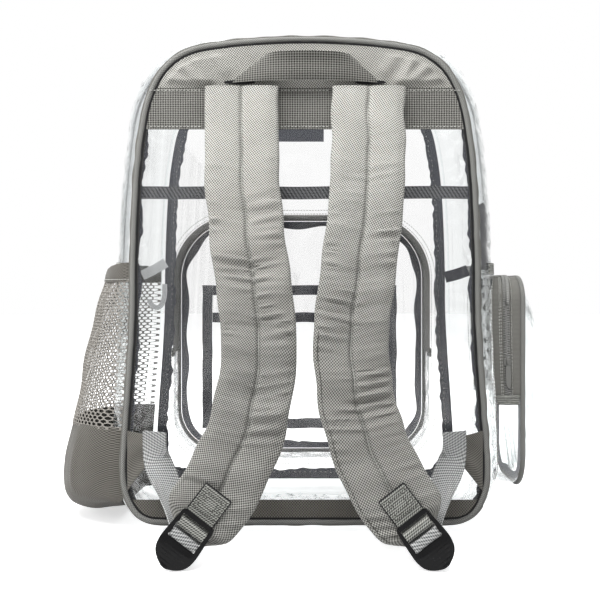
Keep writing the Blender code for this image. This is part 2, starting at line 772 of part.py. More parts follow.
def rounded_outline(width, height, top_radius, bottom_radius, split, steps=5):
    """A rounded rectangle as a loop from the middle of its bottom edge, with a point at the split height.

    Each corner is a quarter circle of its radius. Returns the loop, the outward directions and the row
    of the split on the right.
    """
    turn = np.linspace(0, np.pi / 2, steps + 1)
    low = np.stack([
        width / 2 - bottom_radius + bottom_radius * np.sin(turn),
        bottom_radius - bottom_radius * np.cos(turn),
    ], axis=1)
    high = np.stack([
        width / 2 - top_radius + top_radius * np.cos(turn),
        height - top_radius + top_radius * np.sin(turn),
    ], axis=1)
    right = np.vstack([[(0.0, 0.0)], low, [(width / 2, split)], high, [(0.0, height)]])
    low_out = np.stack([np.sin(turn), -np.cos(turn)], axis=1)
    high_out = np.stack([np.cos(turn), np.sin(turn)], axis=1)
    out = np.vstack([[(0.0, -1.0)], low_out, [(1.0, 0.0)], high_out, [(0.0, 1.0)]])
    loop = np.vstack([right, right[-2:0:-1] * (-1, 1)])
    return loop, np.vstack([out, out[-2:0:-1] * (-1, 1)]), steps + 2


def zip_pocket(prefix, outline, place, foot, depth, dome, names):
    """A boxed clear pocket: a lower wall, a zip wall above the tabs, piping and a domed face.

    place turns (sideways, height, stand-off) into a point, and foot gives the stand-off of what the
    pocket is sewn to.
    """
    loop, out, tab_row = outline
    count = len(loop)
    rim = depth - PIPING_REACH

    def wall(rows, shares, lift):
        rows = np.asarray(rows, dtype=float)
        low = np.floor(rows).astype(int)
        share = (rows - low)[:, None]
        spot = loop[low % count] * (1 - share) + loop[(low + 1) % count] * share
        away = unit(out[low % count] * (1 - share) + out[(low + 1) % count] * share)
        grid = np.empty((len(rows), len(shares), 3))
        lift = np.broadcast_to(lift, len(shares))
        for index, (share_out, rise) in enumerate(zip(shares, lift)):
            flat = spot + away * rise
            base = foot(flat[:, 0], flat[:, 1])
            grid[:, index] = place(flat[:, 0], flat[:, 1], base + (rim - base) * share_out)
        return grid

    def step(row, distance):
        length = np.linalg.norm(loop[(int(row) + 1) % count] - loop[int(row) % count])
        return distance / length

    right, left = tab_row, count - tab_row
    small = step(right, GAP / 2)
    lower = np.concatenate([[left + small], np.arange(left + 1, count + right), [count + right - small]])
    upper = np.concatenate([[right + small], np.arange(right + 1, left), [left - small]])
    half = WALL / 2
    ends = np.array([0.0, 1.0])
    skin(f"{prefix}_gusset", wall(lower, ends, half), wall(lower, ends, -half), CLEAR)
    chain = CHAIN_WIDTH / 2 / rim
    bevel = CHAIN_HEIGHT / 2 / rim
    shares = np.array([0.0, 0.5 - chain - bevel, 0.5 - chain, 0.5 + chain, 0.5 + chain + bevel, 1.0])
    lift = np.array([0.0, 0.0, 1.0, 1.0, 0.0, 0.0]) * CHAIN_HEIGHT + half
    skin(f"{prefix}_zip", wall(upper, shares, lift), wall(upper, shares, -half), GREY)

    tab_lift = half + CHAIN_HEIGHT + GAP
    for name, row in zip(names, (right, left)):
        before, after = step(row - 1, POCKET_TAB_HEIGHT / 2), step(row, POCKET_TAB_HEIGHT / 2)
        rows = [row - before, row, row + after]
        shares = np.array([POCKET_TAB_INSET, rim - POCKET_TAB_INSET]) / rim
        skin(f"{prefix}_{name}", wall(rows, shares, tab_lift + CLOTH), wall(rows, shares, tab_lift), WEBBING)

    centre = place(loop[:, 0], loop[:, 1], np.full(count, depth))
    corner = place(np.zeros(1), np.zeros(1), np.zeros(1))
    away = place(out[:, 0], out[:, 1], np.zeros(count)) - corner
    straight = (place(np.zeros(1), np.zeros(1), np.ones(1)) - corner)[0]
    tube_round(f"{prefix}_piping", centre, away, straight, PIPING_RADIUS, GREY)

    middle = np.array([0.0, (loop[:, 1].min() + loop[:, 1].max()) / 2])
    edge = loop - out * PIPING_REACH
    grids = []
    for level in (half, -half):
        rows = []
        for share, rise in POCKET_DOME:
            flat = middle + (edge - middle) * share
            rows.append(place(flat[:, 0], flat[:, 1], np.full(count, depth + dome * rise + level)))
        grids.append(np.stack(rows, axis=1))
    points = np.concatenate([grid.reshape(-1, 3) for grid in grids])
    columns = len(POCKET_DOME)
    faces = []
    for level in (0, 1):
        base = level * count * columns
        for row in range(count):
            beside = (row + 1) % count
            for column in range(columns - 1):
                a, b = base + row * columns + column, base + beside * columns + column
                faces += [(a, b, b + 1), (a, b + 1, a + 1)]
        faces.append(tuple(base + row * columns + columns - 1 for row in range(count)))
    for row in range(count):
        beside = (row + 1) % count
        a, b = row * columns, beside * columns
        faces.append((a, b, b + count * columns, a + count * columns))
    solid(f"{prefix}_face", points, faces, CLEAR)

    row = left - step(left - 1, POCKET_TAB_HEIGHT / 2 + GAP)
    top = wall([row, row - step(left - 1, SLIDER_LENGTH)], [0.5], half + CHAIN_HEIGHT)[:, 0]
    slider(f"{prefix}_slider", top[0], away[left], top[1] - top[0])


def front_pocket():
    """The clear zip pocket on the front panel, with its organiser."""
    outline = rounded_outline(
        FRONT_POCKET_WIDTH, FRONT_POCKET_HEIGHT, FRONT_POCKET_TOP_RADIUS, FRONT_POCKET_BOTTOM_RADIUS,
        FRONT_POCKET_TABS - FRONT_POCKET_BOTTOM,
    )

    def place(sideways, height, stand):
        return np.stack([
            sideways + FRONT_POCKET_SHIFT, FRONT + stand, height + FRONT_POCKET_BOTTOM,
        ], axis=-1)

    def foot(sideways, height):
        return np.full(np.shape(sideways), GAP)

    zip_pocket("front_pocket", outline, place, foot, FRONT_POCKET_DEPTH, FRONT_POCKET_DOME,
               ("tab_right", "tab_left"))


def organiser():
    """The clear organiser on the front panel, inside the front pocket, with bound edges."""
    near = FRONT + GAP
    corners = rectangle(ORGANISER_LEFT, ORGANISER_BOTTOM, ORGANISER_WIDTH, ORGANISER_HEIGHT)
    plate("organiser_sheet", in_panel(corners, near), (0, WALL, 0), CLEAR)
    right = ORGANISER_LEFT + ORGANISER_WIDTH
    top = ORGANISER_BOTTOM + ORGANISER_HEIGHT
    x = [ORGANISER_LEFT, ORGANISER_LEFT + ORGANISER_BINDING, right - ORGANISER_BINDING, right]
    z = [
        ORGANISER_BOTTOM,
        ORGANISER_BOTTOM + ORGANISER_BINDING,
        top - ORGANISER_STEP - ORGANISER_BINDING,
        top - ORGANISER_STEP,
        top - ORGANISER_BINDING,
        top,
    ]
    filled = {(column, row) for column in range(3) for row in range(5)} - {(1, 1), (1, 3)}
    near += WALL + GAP
    points = np.array([(a, near + lift, b) for lift in (0, BINDING_THICKNESS) for b in z for a in x])
    layer = len(x) * len(z)
    faces = []
    for column, row in sorted(filled):
        ring = [row * 4 + column, row * 4 + column + 1, row * 4 + column + 5, row * 4 + column + 4]
        faces.append(tuple(ring))
        faces.append(tuple(layer + index for index in reversed(ring)))
        beside = [(column, row - 1), (column + 1, row), (column, row + 1), (column - 1, row)]
        for index, cell in enumerate(beside):
            if cell not in filled:
                a, b = ring[index], ring[(index + 1) % 4]
                faces.append((a, layer + a, layer + b, b))
    solid("organiser_binding", points, faces, DARK)


def side_pocket():
    """The clear zip pocket on the right side wall."""
    top = LOOP[TAB_ROW, 1] - END_TAB_HEIGHT / 2 - CHAIN_HEIGHT - WALL / 2 - 2 * GAP
    outline = rounded_outline(
        SIDE_POCKET_WIDTH, top - SIDE_POCKET_BOTTOM, SIDE_POCKET_TOP_RADIUS, SIDE_POCKET_BOTTOM_RADIUS,
        SIDE_POCKET_TABS - SIDE_POCKET_BOTTOM, steps=4,
    )
    middle = BACK + SIDE_POCKET_START + SIDE_POCKET_WIDTH / 2
    plane = PANEL_WIDTH / 2

    def place(sideways, height, stand):
        return np.stack([plane + stand, middle + sideways, height + SIDE_POCKET_BOTTOM], axis=-1)

    def foot(sideways, height):
        share = (middle + sideways - across_depth(0.0)) / (across_depth(1.0) - across_depth(0.0))
        wall = side_wall(np.arange(CORNER_ROW, SHOULDER_ROW), share)
        level = height + SIDE_POCKET_BOTTOM
        reach = [np.interp(z, wall[:, i, 2], wall[:, i, 0]) for i, z in enumerate(level)]
        return np.array(reach) - plane + 2 * GAP

    zip_pocket("side_pocket", outline, place, foot, SIDE_POCKET_DEPTH, SIDE_POCKET_DOME,
               ("tab_front", "tab_back"))


def mesh_face(levels, shares, lift=0.0):
    """Grid on the mesh pocket's outer face. levels count its profile's rows from the mouth down."""
    rows = np.arange(len(MESH_PROFILE))
    height = MESH_BOTTOM + np.interp(levels, rows, MESH_PROFILE[:, 0]) * (MESH_TOP - MESH_BOTTOM)
    reach = np.interp(levels, rows, MESH_PROFILE[:, 1]) * MESH_REACH
    side = half_width(np.maximum(height, SEAM_HEIGHT + PANEL_HEIGHT * RIM[SIDE_ROW, 1]))
    seam = SEAM_STAND + GAP + MESH_WALL
    x = -(side[:, None] + seam + np.outer(reach, section_shape(shares)) + lift)
    y = np.broadcast_to(across_depth(shares), x.shape)
    z = np.broadcast_to(height[:, None], x.shape)
    return np.stack([x, y, z], axis=-1)


def profile_level(height):
    """The mesh profile's row at a height on its outer wall."""
    share = (height - MESH_BOTTOM) / (MESH_TOP - MESH_BOTTOM)
    wall = MESH_PROFILE[:MESH_TURN_ROW + 1]
    return np.interp(-share, -wall[:, 0], np.arange(len(wall)))


def mesh_pocket():
    """The open-topped pocket on the left: a folded hem, a coarse net and a cloth base."""
    shares = SECTION[:, 0]
    hem_low = profile_level(MESH_TOP - HEM_HEIGHT)
    base_high = profile_level(BASE_TOP)
    hem = [0.0, hem_low / 2, profile_level(MESH_TOP - HEM_HEIGHT + GAP)]
    skin("mesh_pocket_hem", mesh_face(hem, shares, MESH_WALL / 2), mesh_face(hem, shares, -MESH_WALL), DARK)
    below = profile_level(BASE_TOP - GAP)
    base = np.concatenate([[below], np.arange(np.ceil(below), len(MESH_PROFILE))])
    outer = mesh_face(base, shares)
    inner = mesh_face(base, shares, -MESH_WALL)
    tuck = np.clip((base - MESH_TURN_ROW) / 2, 0.0, 1.0)
    inner[..., 2] += (tuck * MESH_WALL)[:, None]
    inner[..., 0] -= (tuck * MESH_WALL / 2)[:, None]
    skin("mesh_pocket_base", outer, inner, GREY)
    net(np.linspace(hem_low, base_high, NET_ROWS + 1), np.linspace(0.0, 1.0, NET_COLUMNS + 1))


def net(levels, shares):
    """The net: a wall with one diamond gap cut through each cell of its grid."""
    outer, inner = mesh_face(levels, shares), mesh_face(levels, shares, -MESH_WALL)
    rows, columns = outer.shape[:2]
    corners = rows * columns
    points = [outer.reshape(-1, 3)]
    gaps = {}
    for layer, grid in enumerate((outer, inner)):
        if layer:
            points.append(grid.reshape(-1, 3))
        a, b = grid[:-1, :-1], grid[:-1, 1:]
        c, d = grid[1:, 1:], grid[1:, :-1]
        middle = (a + b + c + d) / 4
        for side, pair in enumerate(((a, b), (b, c), (c, d), (d, a))):
            edge = (pair[0] + pair[1]) / 2
            gaps[layer, side] = middle + (edge - middle) * NET_OPEN_SHARE
    for layer in (0, 1):
        for side in range(4):
            points.append(gaps[layer, side].reshape(-1, 3))
    cells = (rows - 1) * (columns - 1)
    faces = []
    for row in range(rows - 1):
        for column in range(columns - 1):
            cell = row * (columns - 1) + column
            ring = [
                row * columns + column, row * columns + column + 1,
                (row + 1) * columns + column + 1, (row + 1) * columns + column,
            ]
            hole = [[2 * corners + (layer * 4 + side) * cells + cell for side in range(4)] for layer in (0, 1)]
            for side in range(4):
                beside = (side + 1) % 4
                for layer in (0, 1):
                    a, b = layer * corners + ring[side], layer * corners + ring[beside]
                    faces.append((a, b, hole[layer][side]))
                    faces.append((b, hole[layer][beside], hole[layer][side]))
                faces.append((hole[0][side], hole[0][beside], hole[1][beside], hole[1][side]))
    for row in range(rows - 1):
        for column in (0, columns - 1):
            a, b = row * columns + column, (row + 1) * columns + column
            faces.append((a, b, corners + b, corners + a))
    for column in range(columns - 1):
        for row in (0, rows - 1):
            a = row * columns + column
            faces.append((a, a + 1, corners + a + 1, corners + a))
    solid("mesh_net", np.concatenate(points), faces, NET)


def main():
    """Models the whole bag in an empty scene."""
    for old in list(bpy.data.objects):
        bpy.data.objects.remove(old)
    panel_and_seam("back", BACK, 1)
    panel_and_seam("front", FRONT, -1)
    back_trim()
    inner_sleeve()
    label_patch()
    gusset()
    main_slider()
    for name, side in (("left", -1), ("right", 1)):
        shoulder_strap(f"strap_{name}", side)
        ladder_lock(f"ladder_lock_{name}", side)
        strap_tab(f"strap_tab_{name}", side)
        adjuster(f"adjuster_webbing_{name}", side)
        wing(f"wing_{name}", side)
    haul_handle()
    front_pocket()
    organiser()
    side_pocket()
    mesh_pocket()


main()
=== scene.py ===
# %% [markdown]
# # A clear stadium backpack
# The bag is a box of clear vinyl film with grey polyester trim: a cloth yoke, webbing, piping, padded
# straps, a net pocket on the left, a zipped clear pocket on the right and another on the front. Each
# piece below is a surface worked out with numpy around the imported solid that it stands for.

import bpy
import numpy as np
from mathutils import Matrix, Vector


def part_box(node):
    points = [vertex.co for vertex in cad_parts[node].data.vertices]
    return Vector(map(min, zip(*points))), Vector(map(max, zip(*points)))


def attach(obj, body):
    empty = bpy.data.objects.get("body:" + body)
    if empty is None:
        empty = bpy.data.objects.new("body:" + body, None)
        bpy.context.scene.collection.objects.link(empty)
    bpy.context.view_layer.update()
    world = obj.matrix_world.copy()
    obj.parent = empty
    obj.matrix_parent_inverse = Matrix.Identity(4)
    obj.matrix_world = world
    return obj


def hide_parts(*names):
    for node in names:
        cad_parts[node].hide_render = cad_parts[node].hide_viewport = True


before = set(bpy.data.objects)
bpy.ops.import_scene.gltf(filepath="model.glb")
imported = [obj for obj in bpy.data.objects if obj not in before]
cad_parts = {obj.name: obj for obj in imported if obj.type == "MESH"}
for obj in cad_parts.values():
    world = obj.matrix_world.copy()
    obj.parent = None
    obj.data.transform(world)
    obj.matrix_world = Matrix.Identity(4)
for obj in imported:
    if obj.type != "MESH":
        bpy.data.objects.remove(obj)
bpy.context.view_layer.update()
scene = bpy.context.scene
print("frame holds", len(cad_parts), "solids")

# %% [markdown]
# ## Sizes
# The main sizes are read from the solids, so that the looks follow them. The rest are the sizes that a
# maker of trim would know: the width of a tape, the thickness of a film and the pitch of a stitch.

# %% Sizes in metres
# GAP keeps pieces apart, TRIM_INSET keeps trim inside the outline, and a STEP is a grid's spacing.
GAP = 0.0003
FILM = 0.0005
CLOTH = 0.0012
TAPE = 0.0014
WEBBING_WIDTH = 0.025
TRIM_INSET = 0.0018
TRIM_STEP = 0.0022
WALL_STEP = 0.0032
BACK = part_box("back_panel")[0][1]
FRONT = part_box("front_panel")[1][1]
DEPTH = FRONT - BACK
PANEL_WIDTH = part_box("back_panel")[1][0] * 2
SEAM_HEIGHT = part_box("back_panel")[0][2]
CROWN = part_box("back_panel")[1][2]
PANEL_HEIGHT = CROWN - SEAM_HEIGHT
SIDE_BULGE = 0.0245
SEAM_STAND = 0.003
PIPING_RADIUS = 0.0024
PIPING_REACH = PIPING_RADIUS + GAP
SEAM_INSET = 0.0005 + PIPING_REACH
YOKE_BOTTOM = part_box("webbing_band")[1][2]
BAND_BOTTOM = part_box("webbing_band")[0][2]
BASE_STRIP_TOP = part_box("back_base_strip")[1][2]
print(f"panel {PANEL_WIDTH:.3f} m wide and {PANEL_HEIGHT:.3f} m tall, panels {DEPTH:.3f} m apart")

# %% [markdown]
# ## Tools for shapes
# A piece of film or cloth is a wall: one grid of points for its outer face, one for its inner face, and
# strips that close the edges. A cord is a ring of points carried along a path. Both keep a UV map in
# metres, so that a weave has its real pitch and follows the cloth through its folds.


# %% Curves and grids
def unit(vectors):
    """Vectors at length one."""
    return vectors / np.linalg.norm(vectors, axis=-1, keepdims=True)


def curve_at(points, place, closed=False):
    """A smooth curve through points, at places that count them from 0.

    Each stretch is the Catmull-Rom cubic: it leaves a point in the direction from the one before it to
    the one after it.
    """
    points = np.asarray(points, dtype=float)
    count = len(points)
    place = np.asarray(place, dtype=float)
    start = np.floor(place).astype(int)
    if closed:
        before, here, ahead, after = (points[(start + step) % count] for step in (-1, 0, 1, 2))
    else:
        start = np.clip(start, 0, count - 2)
        before, here, ahead, after = (points[np.clip(start + step, 0, count - 1)] for step in (-1, 0, 1, 2))
    share = (place - start)[..., None]
    return 0.5 * (
        2 * here
        + (ahead - before) * share
        + (2 * before - 5 * here + 4 * ahead - after) * share**2
        + (3 * here - before - 3 * ahead + after) * share**3
    )


def lengths(points):
    """Distance travelled along a path at each of its points."""
    steps = np.linalg.norm(np.diff(points, axis=0), axis=1)
    return np.concatenate([[0.0], np.cumsum(steps)])


def even_path(points, spacing):
    """A path's points taken again at one even spacing."""
    run = lengths(points)
    count = max(int(run[-1] / spacing), 2)
    places = np.linspace(0.0, run[-1], count + 1)
    return np.stack([np.interp(places, run, points[:, axis]) for axis in range(points.shape[1])], axis=1)


def rounded(points, times=3):
    """A path with its corners cut: each stretch gives way to the points at its quarter and three quarters."""
    points = np.asarray(points, dtype=float)
    for _ in range(times):
        near = points[:-1] * 0.75 + points[1:] * 0.25
        far = points[:-1] * 0.25 + points[1:] * 0.75
        middle = np.stack([near, far], axis=1).reshape(-1, points.shape[1])
        points = np.vstack([points[:1], middle, points[-1:]])
    return points


def along_path(points, closed=False):
    """The direction of travel at each point of a path."""
    if closed:
        return unit(np.roll(points, -1, axis=0) - np.roll(points, 1, axis=0))
    return unit(np.gradient(points, axis=0))
# %% [markdown]
# ### Waves and folds
# Creased film shows many waves of nearly one length, so a sum of a few sines looks like it. Each sum has
# its own seed.


# %% Waves, steps and folds
def waves(a, b, pitch, seed, heading=0.0, spread=np.pi, count=7):
    """Soft folds: a sum of sine waves with about one pitch, whose headings lie near one heading."""
    random = np.random.default_rng(seed)
    total = 0.0
    for _ in range(count):
        turn = heading + random.uniform(-spread, spread)
        reach = pitch * random.uniform(0.7, 1.5)
        phase = random.uniform(0.0, 2 * np.pi)
        total = total + np.sin(2 * np.pi * (a * np.cos(turn) + b * np.sin(turn)) / reach + phase)
    return total / np.sqrt(count)


def smooth_step(value, low, high):
    """0 below low and 1 above high, with an S-shaped rise between them."""
    share = np.clip((value - low) / (high - low), 0.0, 1.0)
    return share * share * (3.0 - 2.0 * share)


def ridge(x, z, start, end, width):
    """A fold along a straight line: a bell curve of the distance to the stretch from start to end."""
    start, end = np.array(start), np.array(end)
    run = end - start
    share = np.clip(((x - start[0]) * run[0] + (z - start[1]) * run[1]) / np.dot(run, run), 0.0, 1.0)
    away = np.hypot(x - start[0] - share * run[0], z - start[1] - share * run[1])
    return np.exp(-((away / width) ** 2))


# %% [markdown]
# ### Walls and tubes
# A mesh is a list of points and of faces that name them by number.


# %% Faces of walls and tubes
def quads_of(ids):
    """The four-cornered faces between neighbours in a grid of indices."""
    return np.stack([ids[:-1, :-1], ids[1:, :-1], ids[1:, 1:], ids[:-1, 1:]], axis=-1).reshape(-1, 4)


def strip_of(one, other):
    """The four-cornered faces between two rows of indices."""
    return np.stack([one[:-1], one[1:], other[1:], other[:-1]], axis=-1)


def map_of(across, along):
    """A UV map in metres: one distance across the cloth for each column, and one along it for each row."""
    return np.stack(np.broadcast_arrays(across[None, :], along[:, None]), axis=-1)


def wall(outer, inner, uv, wrap=False):
    """A closed wall between two grids. Rows run along it, and wrap joins the last row to the first."""
    rows, columns = outer.shape[:2]
    ids = np.arange(rows * columns).reshape(rows, columns)
    spots = np.arange(len(uv) * columns).reshape(len(uv), columns)
    if wrap:
        ids = np.vstack([ids, ids[:1]])
    parts = []
    for grid in (ids, spots):
        shift = rows * columns if grid is ids else 0
        faces = [quads_of(grid), quads_of(grid + shift)[:, ::-1]]
        faces.append(strip_of(grid[::-1, 0], grid[::-1, 0] + shift))
        faces.append(strip_of(grid[:, -1], grid[:, -1] + shift))
        if not wrap:
            faces.append(strip_of(grid[0], grid[0] + shift))
            faces.append(strip_of(grid[-1, ::-1], grid[-1, ::-1] + shift))
        parts.append(np.concatenate(faces))
    points = np.concatenate([outer.reshape(-1, 3), inner.reshape(-1, 3)])
    return points, [parts[0]], [uv.reshape(-1, 2)[parts[1]]]


def tube(rings, closed=False):
    """A skin through rings of points: rings[i, j] is point j of ring i. Open tubes get flat ends."""
    rows, sides = rings.shape[:2]
    ids = np.arange(rows * sides).reshape(rows, sides)
    ids = np.hstack([ids, ids[:, :1]])
    if closed:
        ids = np.vstack([ids, ids[:1]])
    middle = rings.mean(axis=1)
    run = lengths(np.vstack([middle, middle[:1]]) if closed else middle)
    around = lengths(np.vstack([rings[rows // 2], rings[rows // 2, :1]]))
    uv = map_of(around, run)
    spots = np.arange(uv.shape[0] * uv.shape[1]).reshape(uv.shape[:2])
    faces = [quads_of(ids)]
    corners = [uv.reshape(-1, 2)[quads_of(spots)]]
    if not closed:
        for end, order in ((0, slice(None)), (rows - 1, slice(None, None, -1))):
            faces.append(ids[end, :-1][order][None])
            corners.append(uv[end, :-1][order][None])
    return rings.reshape(-1, 3), faces, corners


def joined(parts):
    """Several bodies as one."""
    points, faces, corners, count = [], [], [], 0
    for body in parts:
        points.append(body[0])
        faces += [group + count for group in body[1]]
        corners += body[2]
        count += len(body[0])
    return np.concatenate(points), faces, corners


# %% [markdown]
# ### Pieces
# A body whose signed volume is negative has faces that look inwards, so they are turned. A piece hides
# the solids of the frame that it stands for.


# %% Pieces
def triangles(points, faces):
    """The corners of the triangles that faces fall into."""
    for group in faces:
        for corner in range(1, group.shape[1] - 1):
            yield points[group[:, 0]], points[group[:, corner]], points[group[:, corner + 1]]


def volume_of(points, faces):
    """Signed volume: the sum of the cones from the origin to each triangle."""
    return sum(np.sum(a * np.cross(b, c)) / 6 for a, b, c in triangles(points, faces))


def piece(name, body, material, nodes=(), smooth=True):
    """Puts a body into the scene as one object that rides on the bag."""
    points, faces, corners = body
    if volume_of(points - points.mean(axis=0), faces) < 0:
        faces = [group[:, ::-1] for group in faces]
        corners = [group[:, ::-1] for group in corners]
    mesh = bpy.data.meshes.new(name)
    listed = [tuple(face) for group in faces for face in group.tolist()]
    mesh.from_pydata(points.tolist(), [], listed)
    layer = mesh.uv_layers.new(name="cloth")
    layer.data.foreach_set("uv", np.concatenate([group.reshape(-1) for group in corners]))
    mesh.shade_smooth()
    if smooth:
        mesh.set_sharp_from_angle(angle=np.radians(50))
    mesh.materials.append(material)
    made = bpy.data.objects.new(name, mesh)
    scene.collection.objects.link(made)
    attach(made, "root")
    if nodes:
        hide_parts(*nodes)
    print(f"{name}: {len(points)} points and {len(listed)} faces")
    return made


def sewn_sheet(made, body, grid):
    """Adds up the area of a body's skin, triangle by triangle, and does nothing with it. made and grid are
    not used."""
    points, faces, _ = body
    areas = (np.linalg.norm(np.cross(b - a, c - a), axis=1) / 2 for a, b, c in triangles(points, faces))
    skin = sum(area.sum() for area in areas)


# %% Tapes and cords
def ribbon(path, across, width, thickness, columns=10, cup=0.0):
    """A tape: its width lies along the across vectors, and cup lifts its edges from its middle."""
    along = along_path(path)
    across = unit(across - along * np.sum(across * along, axis=1, keepdims=True))
    face = np.cross(across, along)
    share = np.linspace(-1.0, 1.0, columns + 1)
    width = np.broadcast_to(width, len(path))
    middle = path[:, None] + across[:, None] * (width[:, None] / 2 * share)[..., None]
    middle = middle + face[:, None] * (cup * share**2)[None, :, None]
    lift = face[:, None] * thickness / 2
    uv = map_of(share * width.mean() / 2, lengths(path))
    return wall(middle + lift, middle - lift, uv)


def cord(path, radius, sides=10, closed=False, normal=None, squash=1.0):
    """A round cord along a path. normal is the direction that the path's plane faces."""
    along = along_path(path, closed)
    normal = np.broadcast_to(np.array([0.0, 1.0, 0.0]) if normal is None else normal, path.shape)
    beside = unit(np.cross(along, normal))
    above = np.cross(beside, along)
    turn = np.linspace(0, 2 * np.pi, sides, endpoint=False)
    rings = (
        path[:, None]
        + beside[:, None] * (np.cos(turn) * radius)[None, :, None]
        + above[:, None] * (np.sin(turn) * radius * squash)[None, :, None]
    )
    return tube(rings, closed)


# %% [markdown]
# ## Stitches and zip teeth
# A lockstitch shows as a row of short dashes of thread, each pulled down at its ends, and a row of them is
# one mesh. A coil zip shows as two rows of small loops that mesh, each a block with a narrow nose.


# %% Small shapes in rows
def frames_on(path, out, pitch):
    """Middles, directions along and directions out at one even pitch on a path with outward vectors."""
    both = even_path(np.hstack([path, out]), pitch)
    places, out = both[:, :3], both[:, 3:]
    middle = (places[1:] + places[:-1]) / 2
    along = unit(places[1:] - places[:-1])
    out = (out[1:] + out[:-1]) / 2
    out = unit(out - along * np.sum(out * along, axis=1, keepdims=True))
    return middle, along, out


def copies(shape, faces, middle, along, out):
    """A small shape, given along, beside and out of a path, at each place on it."""
    beside = np.cross(along, out)
    points = (
        middle[:, None]
        + along[:, None] * shape[None, :, :1]
        + beside[:, None] * shape[None, :, 1:2]
        + out[:, None] * shape[None, :, 2:]
    )
    shift = (np.arange(len(middle)) * len(shape))[:, None, None]
    groups = [(group[None] + shift).reshape(-1, group.shape[1]) for group in faces]
    points = points.reshape(-1, 3)
    return points, groups, [points[group][..., [0, 2]] for group in groups]


def stitches(path, out, pitch=0.0032, dash=0.0025, radius=0.00042):
    """A row of thread dashes along a path. Each is a four-sided spindle that sinks at its ends."""
    middle, along, up = frames_on(path, out, pitch)
    turn = np.array([0.0, 0.5, 1.0, 1.5]) * np.pi
    ring = np.stack([np.zeros(4), np.cos(turn), np.sin(turn)], axis=1) * radius
    near = ring - (dash * 0.28, 0.0, 0.0)
    far = ring + (dash * 0.28, 0.0, 0.0)
    tips = np.array([[-dash / 2, 0.0, -radius], [dash / 2, 0.0, -radius]])
    shape = np.vstack([near, far, tips])
    side = np.arange(4)
    beside = (side + 1) % 4
    faces = [
        np.stack([side, side + 4, beside + 4, beside], axis=1),
        np.stack([side, beside, np.full(4, 8)], axis=1),
        np.stack([beside + 4, side + 4, np.full(4, 9)], axis=1),
    ]
    return copies(shape, faces, middle, along, up)


# %% Zip coils
def zip_chain(path, out, width=0.0052, pitch=0.0015, height=0.0011):
    """Two rows of coil loops that mesh along a path, each loop a block with a narrow nose."""
    parts = []
    long = pitch * 0.40
    reach = width / 2
    for side, start in ((1.0, 0.0), (-1.0, 0.5)):
        middle, along, up = frames_on(path, out, pitch)
        middle = middle + along * pitch * start
        base = np.array([
            (-long, side * reach),
            (long, side * reach),
            (long * 0.5, -side * reach * 0.35),
            (-long * 0.5, -side * reach * 0.35),
        ])
        low = np.hstack([base, np.full((4, 1), -height * 0.3)])
        high = np.hstack([base * (0.7, 0.9), np.full((4, 1), height)])
        shape = np.vstack([low, high])
        ring = np.arange(4)
        beside = (ring + 1) % 4
        ends = np.array([[3, 2, 1, 0], [4, 5, 6, 7]])
        faces = [ends, np.stack([ring, beside, beside + 4, ring + 4], axis=1)]
        if side < 0:
            faces = [group[:, ::-1] for group in faces]
        parts.append(copies(shape, faces, middle, along, up))
    return joined(parts)


# %% [markdown]
# ## Materials
# Each finish is a small tree of nodes, built with these helpers.


# %% Nodes and colours
def colour(text, alpha=1.0):
    """A colour from its sRGB hex value, turned to linear light."""
    values = np.array([int(text[i:i + 2], 16) for i in (1, 3, 5)]) / 255
    linear = np.where(values <= 0.04045, values / 12.92, ((values + 0.055) / 1.055) ** 2.4)
    return (*linear.tolist(), alpha)


def add(tree, kind, sockets=(), **settings):
    """Adds a node with its settings, and links or fills its sockets."""
    made = tree.nodes.new(kind)
    for name, value in settings.items():
        setattr(made, name, value)
    for name, value in dict(sockets).items():
        if isinstance(value, bpy.types.NodeSocket):
            tree.links.new(value, made.inputs[name])
        else:
            made.inputs[name].default_value = value
    return made


def empty_material(name):
    """A material with nothing but its output."""
    material = bpy.data.materials.new(name)
    material.use_nodes = True
    material.node_tree.nodes.clear()
    return material, material.node_tree, add(material.node_tree, "ShaderNodeOutputMaterial")


# %% [markdown]
# ### Woven cloth
# Polyester has no shine of its own, but each thread catches light, so a weave is two trains of waves that
# cross. They darken the cloth between the threads and drive a bump, and two noises add wear and fuzz.

# %% Woven cloth
# The wave texture repeats after this length when its scale is one.
WAVE_LENGTH = 2 * np.pi / 20


